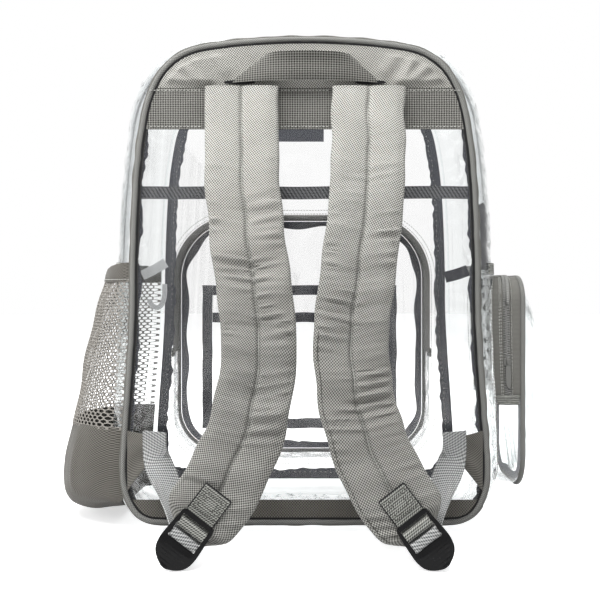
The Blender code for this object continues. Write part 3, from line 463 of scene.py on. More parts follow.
def woven(name, light, dark, ribs, threads, depth=0.0004, mottle=0.16, shade_fade=None):
    """A woven cloth. ribs and threads are each a pitch in metres and a heading in degrees on the cloth.

    The last argument is a start, an end and a share: the cloth darkens to that share between the two places
    along it. That darkening is painted shade.
    """
    material, tree, output = empty_material(name)
    cloth = add(tree, "ShaderNodeUVMap", uv_map="cloth").outputs["UV"]
    trains = []
    for pitch, heading in (ribs, threads):
        scale = WAVE_LENGTH / pitch
        turned = add(tree, "ShaderNodeMapping", {
            "Vector": cloth, "Rotation": (0, 0, np.radians(-heading)), "Scale": (1, 1, 1)})
        sized = add(tree, "ShaderNodeVectorMath", {0: turned.outputs[0], 1: (scale, scale, scale)},
                    operation="MULTIPLY")
        train = add(tree, "ShaderNodeTexWave", {
            "Vector": sized.outputs[0], "Scale": 1.0, "Distortion": 0.35, "Detail": 1.0,
            "Detail Scale": 0.6}, wave_type="BANDS", bands_direction="X", wave_profile="SIN")
        trains.append(train.outputs["Fac"])
    weave = add(tree, "ShaderNodeMix", {0: 0.5, 2: trains[0], 3: trains[1]}, data_type="FLOAT")
    place = add(tree, "ShaderNodeTexCoord").outputs["Object"]
    cloud = add(tree, "ShaderNodeTexNoise", {"Vector": place, "Scale": 28.0, "Detail": 4.0})
    fuzz = add(tree, "ShaderNodeTexNoise", {"Vector": place, "Scale": 900.0, "Detail": 2.0})
    soiled = add(tree, "ShaderNodeMix", {0: mottle, 2: weave.outputs[0], 3: cloud.outputs["Fac"]},
                 data_type="FLOAT")
    mixed = add(tree, "ShaderNodeMix", {0: 0.12, 2: soiled.outputs[0], 3: fuzz.outputs["Fac"]},
                data_type="FLOAT")
    ramp = add(tree, "ShaderNodeMapRange", {0: mixed.outputs[0], 1: 0.27, 2: 0.72, 3: 0.0, 4: 1.0})
    tint = add(tree, "ShaderNodeMix", {0: ramp.outputs[0], 6: colour(dark), 7: colour(light)},
               data_type="RGBA")
    # Darkening along the cloth between two places: painted shade.
    if shade_fade:
        along = add(tree, "ShaderNodeSeparateXYZ", {0: cloth}).outputs["Y"]
        painted_shade = add(tree, "ShaderNodeMapRange", {0: along, 1: shade_fade[0], 2: shade_fade[1], 3: 1.0, 4: shade_fade[2]})
        tint = add(tree, "ShaderNodeMix", {0: 1.0, 6: tint.outputs[2], 7: painted_shade.outputs[0]},
                   data_type="RGBA", blend_type="MULTIPLY")
    bump = add(tree, "ShaderNodeBump", {"Height": weave.outputs[0], "Strength": 0.8, "Distance": depth})
    shader = add(tree, "ShaderNodeBsdfPrincipled", {
        "Base Color": tint.outputs[2], "Roughness": 0.8, "Sheen Weight": 0.15,
        "Sheen Roughness": 0.45, "Specular IOR Level": 0.3, "Normal": bump.outputs[0]})
    tree.links.new(shader.outputs[0], output.inputs["Surface"])
    return material


# %% [markdown]
# ### Moulded parts
# A moulding's gloss is uneven where it is handled, so its roughness follows a slow noise.


# %% Moulded parts
GRAIN_SIZE = 0.0006


def moulded(name, tint, roughness, grain=0.0, shine=0.35):
    """A moulded plastic with a faint grain from its tool."""
    material, tree, output = empty_material(name)
    place = add(tree, "ShaderNodeTexCoord").outputs["Object"]
    spots = add(tree, "ShaderNodeTexNoise", {"Vector": place, "Scale": 1 / GRAIN_SIZE, "Detail": 2.0})
    wear = add(tree, "ShaderNodeTexNoise", {"Vector": place, "Scale": 120.0, "Detail": 3.0})
    rough = add(tree, "ShaderNodeMapRange", {
        0: wear.outputs["Fac"], 3: roughness * 0.75, 4: roughness * 1.3})
    bump = add(tree, "ShaderNodeBump", {
        "Height": spots.outputs["Fac"], "Strength": 0.5, "Distance": grain})
    shader = add(tree, "ShaderNodeBsdfPrincipled", {
        "Base Color": colour(tint), "Roughness": rough.outputs[0], "IOR": 1.48,
        "Specular IOR Level": shine, "Normal": bump.outputs[0]})
    tree.links.new(shader.outputs[0], output.inputs["Surface"])
    return material


# %% [markdown]
# ### Clear film
# What the eye sees of film is its mirror image of the room, faint straight on and strong along it. The
# facing value runs from 0 to 1 in that way. Slow noises bend the mirror, as folding does, and add haze.


# %% Film
def clear_film(name, passes, mirror_roughness=0.06, wave=0.0006, haze=0.008, head_on=0.018):
    """Clear film: it lets light straight through, and mirrors a share that grows towards its edge.

    The share is 0.95 times (0.95 times the fourth power of the facing value, plus head_on), plus the haze.
    """
    material, tree, output = empty_material(name)
    place = add(tree, "ShaderNodeTexCoord").outputs["Object"]
    swell = add(tree, "ShaderNodeTexNoise", {"Vector": place, "Scale": 38.0, "Detail": 2.5})
    bump = add(tree, "ShaderNodeBump", {"Height": swell.outputs["Fac"], "Strength": 1.0, "Distance": wave})
    slant = add(tree, "ShaderNodeLayerWeight", {"Blend": 0.5, "Normal": bump.outputs[0]})
    steep = add(tree, "ShaderNodeMath", {0: slant.outputs["Facing"], 1: 4.0}, operation="POWER")
    mirror = add(tree, "ShaderNodeMath", {0: steep.outputs[0], 1: 0.95, 2: head_on},
                 operation="MULTIPLY_ADD")
    smear = add(tree, "ShaderNodeTexNoise", {"Vector": place, "Scale": 11.0, "Detail": 5.0})
    milky = add(tree, "ShaderNodeMapRange", {
        0: smear.outputs["Fac"], 1: 0.45, 2: 0.75, 3: haze * 0.4, 4: haze * 2.0})
    share = add(tree, "ShaderNodeMath", {0: mirror.outputs[0], 1: 0.95, 2: milky.outputs[0]},
                operation="MULTIPLY_ADD", use_clamp=True)
    through = add(tree, "ShaderNodeBsdfTransparent", {"Color": colour(passes)})
    skin = add(tree, "ShaderNodeBsdfPrincipled", {
        "Base Color": colour("#F6F6F6"), "Metallic": 1.0, "Roughness": mirror_roughness,
        "Normal": bump.outputs[0]})
    mixed = add(tree, "ShaderNodeMixShader", {
        0: share.outputs[0], 1: through.outputs[0], 2: skin.outputs[0]})
    tree.links.new(mixed.outputs[0], output.inputs["Surface"])
    return material


# %% [markdown]
# ### The finishes
# Two colours are a cloth's lit threads and the gaps between them, and each pair of numbers is a pitch in
# metres and a heading in degrees. Every weave is drawn coarser than the real one, whose threads of 0.4 mm
# would melt into flat grey.

# %% Cloth finishes
# The palest cloth: slanting rows of light dots, 1.8 mm apart where the real ones are under 1 mm. It is
# painted darker down the strap, to 60 percent: painted shade on its lower part.
STRAP_TWILL = woven("polyester twill, straps", "#D2D1CB", "#3E3D38", (0.0018, 56), (0.0018, -34),
                    shade_fade=(0.05, 0.22, 0.60))
# The same twill, painted darker than on the straps for the shade it takes lying flat. Drawn coarser too.
YOKE_TWILL = woven("polyester twill, yoke", "#BFBEB8", "#43423D", (0.0018, 52), (0.0018, -36))
# A darker twill: warm, dull and low in contrast. Drawn coarser. On the wings it is partly painted shade for
# their folded cloth.
BASE_TWILL = woven("polyester twill, base", "#75726C", "#36342F", (0.0019, 42), (0.0019, -42))
# Pulled tight round its cord, it is smooth and shows one soft light line.
PIPING = woven("piping cloth", "#90908C", "#5A5A58", (0.0016, 45), (0.0015, -45), depth=0.00015)

# %% Webbing finishes
# Crossing ribs read as a dark mesh of small squares. Drawn coarser.
BAND = woven("ribbed webbing, band", "#8E8D88", "#23221F", (0.0023, 0), (0.0021, 90), depth=0.0005)
# Pale, with slanting ribs that catch the light one by one. Drawn coarser.
TAPE_WEB = woven("diagonal webbing, adjusters", "#BCBDBC", "#4A4B4B", (0.0024, 66), (0.0017, 0),
                 depth=0.0005, mottle=0.12)
# Light and dark yarn together give a lively grey heather. Drawn coarser.
TAB_WEB = woven("heather webbing, tabs", "#A9AAA4", "#232320", (0.0019, 90), (0.0018, 30), depth=0.0005)

# %% Tape finishes
# Fine ribs across the tape give a soft, dry dark. Drawn coarser.
BINDING = woven("grosgrain binding, dark", "#66676D", "#2F3035", (0.0013, 84), (0.0011, 5))
# The same tape, painted lighter because it lies nearer to the light.
POCKET_BINDING = woven("grosgrain binding, painted lighter", "#797A82", "#3D3E45", (0.0013, 84), (0.0011, 5))
# Knitted flat: an even grey beside the coil. Drawn coarser.
ZIP_TAPE = woven("zip tape, grey", "#8C8B86", "#55544F", (0.0012, 90), (0.0014, 2))
# Painted shadow: no light reaches a seam's bottom, so it reads as a thin black line.
SHADOW = woven("painted seam shadow, black", "#242425", "#0C0C0D", (0.0012, 90), (0.0014, 2))
# A dark block seen through the film. Drawn coarser.
DARK_TAPE = woven("zip tape, dark", "#56565A", "#29292C", (0.0012, 90), (0.0014, 2))
# Nearly white, because the film's haze lies over it.
PALE_TAPE = woven("zip tape, pale", "#E2E3E4", "#A2A4A6", (0.0012, 90), (0.0014, 2))

# %% Yarn and thread finishes
# Soft and matt, a warm light grey.
YARN = woven("net yarn", "#A5A19B", "#6B6761", (0.0009, 45), (0.0008, -45), depth=0.0001, mottle=0.1)
# Rows of light dashes. The thread's twist is drawn coarser.
THREAD = woven("bonded thread, pale", "#D5D5D0", "#8F8F8A", (0.0007, 60), (0.0005, 0), depth=0.0001)
# It sinks into its seam and reads as a dotted groove.
DARK_THREAD = woven("bonded thread, dark", "#55544F", "#22221F", (0.0007, 60), (0.0005, 0), depth=0.0001)

# %% Plastic, metal and film finishes
# Moulded filament: small glints in two rows.
COIL = moulded("polyester coil", "#8C8C89", 0.45)
# Paler, because film lies over it.
PALE_COIL = moulded("polyester coil, pale", "#C6C8C9", 0.45)
# Deep black with a low, waxy gloss: only rounded edges catch light.
ACETAL = moulded("acetal, black", "#050506", 0.26, grain=0.00005, shine=0.16)
# Enamelled zinc: mid grey with a tight highlight.
CAST = moulded("cast slider, grey enamel", "#6C6C69", 0.34, shine=0.4)
# All but invisible where it is flat: it shows where a wave mirrors a light.
FILM_CLEAR = clear_film("vinyl film", "#FEFEFE", haze=0.002, head_on=0.007)
# A white veil over the main zip.
MILKY_FILM = clear_film("vinyl, milky", "#F4F5F6", mirror_roughness=0.25, haze=0.07)
# It buckles round the bends, so its mirror breaks into pale streaks.
SOFT_FILM = clear_film("vinyl film, softer", "#FDFEFE", mirror_roughness=0.09, wave=0.0011, haze=0.012,
                       head_on=0.030)
print(len(bpy.data.materials), "finishes made so far")

# %% [markdown]
# ## The bag's outline and side wall
# The back and front panels share one outline: a flat bottom, sides that lean in, and a round top. The
# side wall joins them and bulges in between, because film that is bent one way won't lie flat the other
# way. Everything on the wall is placed by a row on the outline, a share of the way across, and a lift.

# %% The outline
RIM = np.array([
    (0.000, 0.000, 0.56),
    (0.400, 0.000, 0.56),
    (0.770, 0.000, 0.56),
    (0.890, 0.006, 0.60),
    (0.955, 0.030, 0.68),
    (0.990, 0.065, 0.78),
    (1.000, 0.110, 0.86),
    (0.984, 0.213, 0.95),
    (0.963, 0.321, 1.00),
    (0.948, 0.430, 1.04),
    (0.946, 0.525, 1.04),
    (0.938, 0.630, 1.02),
    (0.925, 0.720, 1.00),
    (0.902, 0.800, 1.00),
    (0.858, 0.880, 1.05),
    (0.775, 0.940, 1.00),
    (0.640, 0.976, 0.85),
    (0.430, 0.991, 0.65),
    (0.200, 0.998, 0.58),
    (0.000, 1.000, 0.56),
])
CORNER_ROW = 3
TAB_ROW = 10
CROWN_ROW = len(RIM) - 1
COUNT = 2 * CROWN_ROW
HALF = RIM * (PANEL_WIDTH / 2, PANEL_HEIGHT, SIDE_BULGE) + (0.0, SEAM_HEIGHT, 0.0)
LOOP = np.vstack([HALF, HALF[-2:0:-1] * (-1, 1, 1)])
print("the outline has", COUNT, "rows, and its tabs lie", round(HALF[TAB_ROW, 1], 3), "m up")


def rim(rows):
    """Outline points (x, z), outward directions and bulges at rows of the outline."""
    rows = np.asarray(rows, dtype=float)
    spot = curve_at(LOOP, rows, closed=True)
    step = 0.02
    run = curve_at(LOOP, rows + step, closed=True) - curve_at(LOOP, rows - step, closed=True)
    along = unit(run[..., :2])
    return spot[..., :2], np.stack([along[..., 1], -along[..., 0]], axis=-1), spot[..., 2]


def even_rows(start, end, spacing):
    """Rows of the outline from start to end, at one even spacing along it."""
    fine = np.linspace(start, end, 3000)
    run = lengths(rim(fine)[0])
    return np.interp(np.linspace(0.0, run[-1], int(run[-1] / spacing) + 1), run, fine)


SIDE_ROWS = np.linspace(CORNER_ROW, CROWN_ROW, 1600)
SIDE_PLACES = rim(SIDE_ROWS)[0]


def rim_row(height, side=1):
    """The outline's row at a height, on the right (side 1) or the left (side -1)."""
    row = np.interp(height, SIDE_PLACES[:, 1], SIDE_ROWS)
    return row if side > 0 else COUNT - row


def half_width(height):
    """Half the panel's width at a height."""
    return np.interp(height, SIDE_PLACES[:, 1], SIDE_PLACES[:, 0])


def across_depth(share):
    """Y of a share of the way from the back seam to the front seam."""
    return BACK + SEAM_INSET + np.asarray(share) * (DEPTH - 2 * SEAM_INSET)


def section(share):
    """Share of the bulge across the side wall: a superellipse that leaves both seams steeply."""
    return np.clip(1 - np.abs(2 * np.asarray(share) - 1) ** 2.6, 0, 1) ** 0.62


def side_wall(rows, shares, lift=0.0):
    """Grid on the side wall's outer face, pressed flat where it meets the floor."""
    place, out, bulge = rim(rows)
    lift = np.broadcast_to(lift, (len(rows), len(shares)))
    stand = SEAM_STAND + bulge[:, None] * section(shares) + lift
    flat = place[:, None] + out[:, None] * stand[..., None]
    depth = np.broadcast_to(across_depth(shares), flat.shape[:2])
    height = np.maximum(flat[..., 1], 0.0002 + np.maximum(-lift, 0.0))
    return np.stack([flat[..., 0], depth, height], axis=-1)


def wall_strip(rows, shares, lift, thickness):
    """A closed strip of the side wall, whose outer face lies at a lift and whose inner face lies a
    thickness below it. Its UV map runs across the depth and along the outline."""
    uv = map_of(np.asarray(shares) * DEPTH, lengths(rim(rows)[0]))
    return wall(side_wall(rows, shares, lift), side_wall(rows, shares, lift - thickness), uv)


def in_panel(flat, depth):
    """Flat (x, z) points as points at one depth."""
    flat = np.asarray(flat, dtype=float)
    return np.stack([flat[..., 0], np.broadcast_to(depth, flat.shape[:-1]), flat[..., 1]], axis=-1)


# %% [markdown]
# ## Clear panels
# A panel is cut from film about half a millimetre thick. Sewing gathers its edge into short puckers, and
# shipping leaves long soft waves and a few creases. Those are what show: flat film is nearly invisible,
# and each wave bends the reflection of a lamp into a white streak. The grid is a square one pushed out
# to the outline, which has no pole, and the waves are added along the panel's normal.


# %% Panels
def filled(outline, count, middle):
    """A square grid pushed out to an outline: its border lies on the outline, its inner squares on
    smaller copies of it. Returns the points and how far out each lies, from 0 to 1."""
    share = np.linspace(-1.0, 1.0, count + 1)
    u, v = np.meshgrid(share, share)
    out = np.maximum(np.abs(u), np.abs(v))
    safe = np.maximum(out, 1e-9)
    turn = np.select(
        [(u >= out) & (v > -out), (v >= out) & (u > -out), (u <= -out) & (v < out)],
        [1 + v / safe, 3 - u / safe, 5 - v / safe],
        7 + u / safe,
    ) / 8
    run = lengths(np.vstack([outline, outline[:1]]))
    closed = np.vstack([outline, outline[:1]])
    edge = np.stack([np.interp(turn % 1.0 * run[-1], run, closed[:, axis]) for axis in (0, 1)], axis=-1)
    return np.asarray(middle) + (edge - middle) * out[..., None], out


# The grid of the rim starts low on the right side, away from the tabs.
RIM_START = 4.2
RIM_STEP = 0.002
RIM_ROWS = even_rows(RIM_START, RIM_START + COUNT, RIM_STEP)[:-1]
RIM_PLACE, RIM_OUT, _ = rim(RIM_ROWS)
RIM_RUN = lengths(RIM_PLACE)
RIM_CLOSED_RUN = np.append(RIM_RUN, RIM_RUN[-1] + RIM_STEP)
PANEL_MIDDLE = (0.0, SEAM_HEIGHT + PANEL_HEIGHT * 0.5)


def panel(name, depth, inward, lift, nodes):
    """One clear panel. lift(x, z, out) gives how far its waves stand off its plane, away from inward."""
    flat, out = filled(RIM_PLACE, 120, PANEL_MIDDLE)
    rise = lift(flat[..., 0], flat[..., 1], out)
    outer = in_panel(flat, depth - inward * rise)
    inner = in_panel(flat, depth - inward * rise + inward * FILM)
    return piece(name, wall(outer, inner, flat), FILM_CLEAR, nodes)


def back_lift(x, z, out):
    """Waves of the back panel: none under the cloth trim, and outwards between it."""
    window = smooth_step(z, BASE_STRIP_TOP, BASE_STRIP_TOP + 0.03)
    window = window * (1 - smooth_step(z, BAND_BOTTOM - 0.03, BAND_BOTTOM)) * smooth_step(1 - out, 0.0, 0.10)
    creases = 1.6 * ridge(x, z, (-0.012, 0.372), (-0.002, 0.338), 0.005)
    creases += 1.3 * ridge(x, z, (0.006, 0.350), (0.014, 0.356), 0.004)
    creases += 1.8 * ridge(x, z, (-0.140, 0.300), (-0.125, 0.120), 0.007)
    creases += 1.5 * ridge(x, z, (0.100, 0.330), (0.128, 0.170), 0.008)
    soft = 1.2 + waves(x, z, 0.12, 3) + 0.45 * waves(x, z, 0.045, 5, heading=0.4, spread=0.7)
    return window * 0.0010 * (np.maximum(soft, 0.0) + creases)


def front_lift(x, z, out):
    """Waves of the front panel, inwards, with puckers beside its seam."""
    window = smooth_step(1 - out, 0.10, 0.28) * (1 - smooth_step(z, CROWN - 0.10, CROWN - 0.07))
    soft = 1.3 + waves(x, z, 0.10, 13) + 0.5 * waves(x, z, 0.04, 15)
    return window * 0.0012 * np.maximum(soft, 0.0)


def sleeve_lift(x, z, out):
    """Waves of the sleeve, towards the inside of the bag."""
    window = smooth_step(1 - out, 0.02, 0.2)
    return -window * 0.0016 * np.maximum(1.0 + waves(x, z, 0.09, 23), 0.0)


panel("back_panel_film", BACK + 0.0002, 1, back_lift, ["back_panel"])
panel("front_panel_film", FRONT - 0.0002, -1, front_lift, ["front_panel"])

# %% [markdown]
# ### The sleeve
# A sheet inside the back panel makes a flat sleeve, open at the top.

# %% Sleeve
SLEEVE_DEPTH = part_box("sleeve_sheet")[0][1]
SLEEVE_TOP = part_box("sleeve_sheet")[1][2]
sleeve_rows = even_rows(COUNT - rim_row(SLEEVE_TOP), COUNT + rim_row(SLEEVE_TOP), 0.004)
sleeve_edge, sleeve_out, _ = rim(sleeve_rows)
sleeve_edge = sleeve_edge - sleeve_out * 0.002
mouth = np.linspace(1, -1, 60)[1:-1] * half_width(SLEEVE_TOP)
sleeve_top = np.stack([mouth, np.full(len(mouth), SLEEVE_TOP)], axis=1)
flat, out = filled(np.vstack([sleeve_edge, sleeve_top]), 90, (0.0, SLEEVE_TOP / 2))
depth = SLEEVE_DEPTH - sleeve_lift(flat[..., 0], flat[..., 1], out)
piece("sleeve_film", wall(in_panel(flat, depth), in_panel(flat, depth + FILM), flat), FILM_CLEAR,
      ["sleeve_sheet"])


# %% [markdown]
# ## The side wall
# Below the tabs the wall is one strip of film that runs down one side, under the bag and up the other.
# Above them two strips hold the zip. The film puckers at both seams and waves in between.


# %% Side wall film
def wall_film(name, rows, shares, nodes, seed):
    """A stretch of side wall with puckers beside its seams and crushed creases between them."""
    run = lengths(rim(rows)[0])[:, None]
    across = shares[None, :] * DEPTH
    seam = np.exp(-np.minimum(shares, 1 - shares) * DEPTH / 0.011)[None, :]
    free = smooth_step(np.minimum(shares, 1 - shares), 0.0, 0.03)[None, :]
    puckers = waves(run, across * 0.3, 0.015, seed, spread=0.3) * seam * 0.0008
    soft = waves(run, across, 0.075, seed + 1, spread=0.9) * 0.0008 * (1 - seam)
    fine = waves(run, across, 0.030, seed + 2, heading=0.3, spread=0.5) * 0.0004
    crush = np.exp(-(waves(run, across * 0.6, 0.028, seed + 4, spread=0.8) / 0.075) ** 2) * 0.0026
    lift = -(np.abs(puckers + soft + fine) + crush * (1 - seam)) * free
    return piece(name, wall_strip(rows, shares, lift, FILM), SOFT_FILM, nodes)


ZIP_HALF_WIDTH = 0.014
ZIP_HALF = ZIP_HALF_WIDTH / (DEPTH - 2 * SEAM_INSET)
lower_rows = even_rows(COUNT - TAB_ROW, COUNT + TAB_ROW, WALL_STEP)
wall_film("side_wall_lower_film", lower_rows, np.linspace(0, 1, 41), ["gusset_lower"], 31)
upper_rows = even_rows(TAB_ROW, COUNT - TAB_ROW, WALL_STEP)
for which, start, end, seed in (("back", 0.0, 0.5 - ZIP_HALF, 41), ("front", 0.5 + ZIP_HALF, 1.0, 51)):
    wall_film(f"side_wall_{which}_film", upper_rows, np.linspace(start, end, 18),
              [f"gusset_upper_{which}"], seed)

# %% [markdown]
# ### The main zip
# The zip runs over the top from tab to tab, and a stretch of dark tape shows under its right end.

# %% Main zip
tape_shares = np.linspace(0.5 - ZIP_HALF * 1.06, 0.5 + ZIP_HALF * 1.06, 13)
tape_lift = np.where(np.abs(tape_shares - 0.5) < ZIP_HALF * 0.25, 0.0003, 0.0006)[None, :]
tape_run = np.arange(len(upper_rows))[:, None] * WALL_STEP
tape_lift = tape_lift + waves(tape_run, tape_shares * DEPTH, 0.05, 61) * 0.0002
piece("main_zip_tape", wall_strip(upper_rows, tape_shares, tape_lift, 0.0007), MILKY_FILM,
      ["main_zip"])
END_ROWS = 22
end_tape = wall_strip(upper_rows[:END_ROWS], tape_shares, tape_lift[:END_ROWS] - 0.0009, 0.0008)
piece("main_zip_end_tape", end_tape, DARK_TAPE)
chain_path = side_wall(upper_rows, np.array([0.5]), 0.0009)[:, 0]
chain_out = in_panel(rim(upper_rows)[1], 0.0)
piece("main_zip_coil", zip_chain(chain_path, chain_out), PALE_COIL, smooth=False)

# %% [markdown]
# ## Seams of the main body
# A piping is a cord in a folded strip of cloth, sewn in between the panel and the wall. Inside the bag
# the raw seam is bound with grosgrain tape. It is a wavy strip, because it is eased round the corners.


# %% Piping and bindings
BINDING_THICKNESS = 0.0011


def eased_binding(which, depth, inward, width, seed):
    """A tape laid flat inside the outline, whose inner edge wanders."""
    wander = waves(RIM_RUN, 0.0, 0.050, seed, spread=0.2) * 0.0011
    wander = wander + waves(RIM_RUN, 0.0, 0.014, seed + 1, spread=0.2) * 0.0005
    share = np.linspace(0.0, 1.0, 8)
    reach = GAP + (width + wander)[:, None] * share
    flat = RIM_PLACE[:, None] - RIM_OUT[:, None] * reach[..., None]
    ripple = np.abs(waves(RIM_RUN[:, None], share * width, 0.018, seed + 2, spread=0.5)) * 0.0008 * share
    outer = in_panel(flat, depth + inward * ripple)
    inner = in_panel(flat, depth + inward * (ripple + BINDING_THICKNESS))
    body = wall(outer, inner, map_of(share * width, RIM_CLOSED_RUN), wrap=True)
    piece(f"{which}_binding_tape", body, BINDING, [f"{which}_seam_binding"])


def seam_edge(part, start, end, level, material):
    """A narrow strip in the back seam, from start to end outside the outline and a level inwards."""
    share = np.linspace(0.0, 1.0, 4)
    width = end - start + waves(RIM_RUN, 0.0, 0.03, 85, spread=0.2) * 0.0003
    reach = start + width[:, None] * share
    flat = RIM_PLACE[:, None] + RIM_OUT[:, None] * reach[..., None]
    outer = in_panel(flat, BACK + level)
    inner = in_panel(flat, BACK + level + 0.0005)
    body = wall(outer, inner, map_of(share * 0.003, RIM_CLOSED_RUN), wrap=True)
    piece(f"back_seam_{part}", body, material)


# %% The two seams
# Panel's plane, way inwards, binding's width and seed, and the piping's finish and slot.
SEAMS = (
    ("back", BACK, 1, 0.0034, 71, PIPING, "grey_twill"),
    ("front", FRONT, -1, 0.0112, 81, SOFT_FILM, "clear_vinyl"),
)
STITCH_INSET = 0.0022
for which, depth, inward, width, seed, trim, slot in SEAMS:
    cord_path = in_panel(RIM_PLACE + RIM_OUT * PIPING_REACH, depth + inward * 0.0005)
    piece(f"{which}_piping_cord", cord(cord_path, PIPING_RADIUS, sides=14, closed=True), trim,
          [f"{which}_piping"])
    eased_binding(which, depth + inward * 0.0013, inward, width, seed)
    if which == "back":
        seam_edge("allowance", 0.0046, 0.0066, 0.0014, ZIP_TAPE)
        # A black strip inside the piping: painted shadow in the groove there.
        seam_edge("gutter_shadow", -0.0017, 0.0006, -0.0006, SHADOW)
    sewn = in_panel(RIM_PLACE - RIM_OUT * STITCH_INSET, depth - inward * 0.0005)
    facing = np.broadcast_to((0.0, -float(inward), 0.0), sewn.shape)
    piece(f"{which}_seam_stitches", stitches(sewn, facing), DARK_THREAD, smooth=False)

# The front binding is sewn in long pale stitches near its inner edge.
reach = 0.0082 + waves(RIM_RUN, 0.0, 0.022, 87, spread=0.3) * 0.0011
sewn = in_panel(RIM_PLACE - RIM_OUT * reach[:, None], FRONT - 0.0033)
piece("front_binding_stitches", stitches(sewn, -facing, pitch=0.0058, dash=0.0017, radius=0.00034), THREAD,
      smooth=False)


# %% [markdown]
# ## Cloth and webbing on the back
# The yoke is a piece of twill that the strap tops are sewn to, so it pulls into slanting folds beside the
# handle. A wide webbing runs under it from side to side, and a narrow strip of twill ends the panel at
# the bottom. Each is a grid between its lower and its upper edge.


# %% Yoke, band and base strip
def between(low, high, count):
    """A grid of points from one edge to another with the same number of points."""
    share = np.linspace(0.0, 1.0, count)[None, :, None]
    return low[:, None] * (1 - share) + high[:, None] * share


def cloth_on_back(name, flat, rise, thickness, material, slot, nodes):
    """Cloth on the outside of the back panel. rise is its folds' height off the panel."""
    seat = BACK - GAP
    outer = in_panel(flat, seat - thickness - rise)
    inner = in_panel(flat, seat - rise * 0.9)
    body = wall(outer, inner, flat)
    made = piece(name, body, material, nodes)
    if slot == "grey_twill":
        sewn_sheet(made, body, outer)
    return made


# %% Yoke
yoke_rows = even_rows(rim_row(YOKE_BOTTOM + GAP), COUNT - rim_row(YOKE_BOTTOM + GAP), TRIM_STEP)
yoke_top, yoke_out, _ = rim(yoke_rows)
yoke_top = yoke_top - yoke_out * TRIM_INSET
yoke_share = np.linspace(1, -1, len(yoke_rows))
yoke_half = half_width(YOKE_BOTTOM) - TRIM_INSET
yoke_low = np.stack([yoke_share * yoke_half, np.full(len(yoke_rows), YOKE_BOTTOM + GAP)], axis=1)
flat = between(yoke_low, yoke_top, 36)
x, z = flat[..., 0], flat[..., 1]
# Each fold has a start, an end, a width and a height.
folds = 0.0
for side in (-1, 1):
    for start, end, width, height in (
        ((0.094, 0.415), (0.126, 0.441), 0.0046, 3.1),
        ((0.101, 0.414), (0.144, 0.427), 0.0045, 2.3),
        ((0.089, 0.418), (0.106, 0.448), 0.0046, 2.6),
        ((0.074, 0.428), (0.090, 0.450), 0.0055, 1.6),
    ):
        folds = folds + height * ridge(x * side, z, start, end, width)
edge_free = smooth_step(z, YOKE_BOTTOM, YOKE_BOTTOM + 0.008) * smooth_step(
    (yoke_top[:, None] - flat)[..., 1] ** 2 + (yoke_top[:, None] - flat)[..., 0] ** 2, 0.0, 0.00006)
rise = 0.0013 * edge_free * (folds + 0.5 + 0.5 * waves(x, z, 0.05, 91, heading=0.6, spread=0.8))
cloth_on_back("yoke_cloth", flat, np.maximum(rise, 0.0), CLOTH, YOKE_TWILL, "grey_twill", ["back_yoke"])

# %% Band and base strip
heights = np.linspace(BAND_BOTTOM, YOKE_BOTTOM, 18)
band_half = half_width(heights) - TRIM_INSET
share = np.linspace(-1, 1, 170)
flat = np.stack(np.broadcast_arrays(share[:, None] * band_half[None, :], heights[None, :]), axis=-1)
rise = np.abs(waves(flat[..., 0], flat[..., 1], 0.045, 95, spread=0.25)) * 0.0004
cloth_on_back("band_webbing", flat, rise, 0.0015, BAND, "grey_webbing", ["webbing_band"])

strip_rows = even_rows(COUNT - rim_row(BASE_STRIP_TOP), COUNT + rim_row(BASE_STRIP_TOP), TRIM_STEP)
strip_low, strip_out, _ = rim(strip_rows)
strip_low = strip_low - strip_out * TRIM_INSET
strip_share = np.linspace(-1, 1, len(strip_rows)) * (half_width(BASE_STRIP_TOP) - TRIM_INSET)
strip_top = np.stack([strip_share, np.full(len(strip_rows), BASE_STRIP_TOP)], axis=1)
flat = between(strip_low, strip_top, 12)
rise = np.abs(waves(flat[..., 0], flat[..., 1], 0.06, 97, spread=0.3)) * 0.0003
cloth_on_back("base_strip_cloth", flat, rise, CLOTH, BASE_TWILL, "grey_twill", ["back_base_strip"])

# The band's stitches stop where the straps lie over it.
rows = []
for start, end in ((-0.1440, -0.096), (-0.023, 0.022), (0.096, 0.1440)):
    for height in (BAND_BOTTOM + STITCH_INSET, YOKE_BOTTOM - STITCH_INSET):
        sewn = in_panel(np.array([(start, height), (end, height)]), BACK - GAP - 0.0021)
        rows.append(stitches(sewn, np.array([(0.0, -1.0, 0.0)] * 2)))
piece("band_stitches", joined(rows), THREAD, smooth=False)

# %% [markdown]
# ### Sleeve mouth and label patch
# A ribbed tape binds the sleeve's mouth, and a bare patch is sewn to the inside of the front panel.

# %% Sleeve mouth and label patch
binding_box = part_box("sleeve_binding")
heights = np.linspace(binding_box[0][2], binding_box[1][2], 8)
binding_half = half_width(heights) - 0.002
share = np.linspace(-1, 1, 150)
flat = np.stack([share[:, None] * binding_half[None, :], np.tile(heights, (len(share), 1))], axis=-1)
flat[..., 1] += waves(flat[..., 0], 0.0, 0.12, 101, spread=0.2) * 0.0006
depth = binding_box[0][1] + 0.0004 + np.abs(waves(flat[..., 0], flat[..., 1], 0.05, 103, spread=0.2)) * 0.0008
# Slanting ribs read as dark and light bars through the film. Drawn coarser.
RIBBED = woven("ribbed binding", "#77787A", "#26272A", (0.0030, 32), (0.0014, 90), depth=0.0005)
piece("sleeve_binding_tape", wall(in_panel(flat, depth), in_panel(flat, depth + 0.0012), flat), RIBBED,
      ["sleeve_binding"])

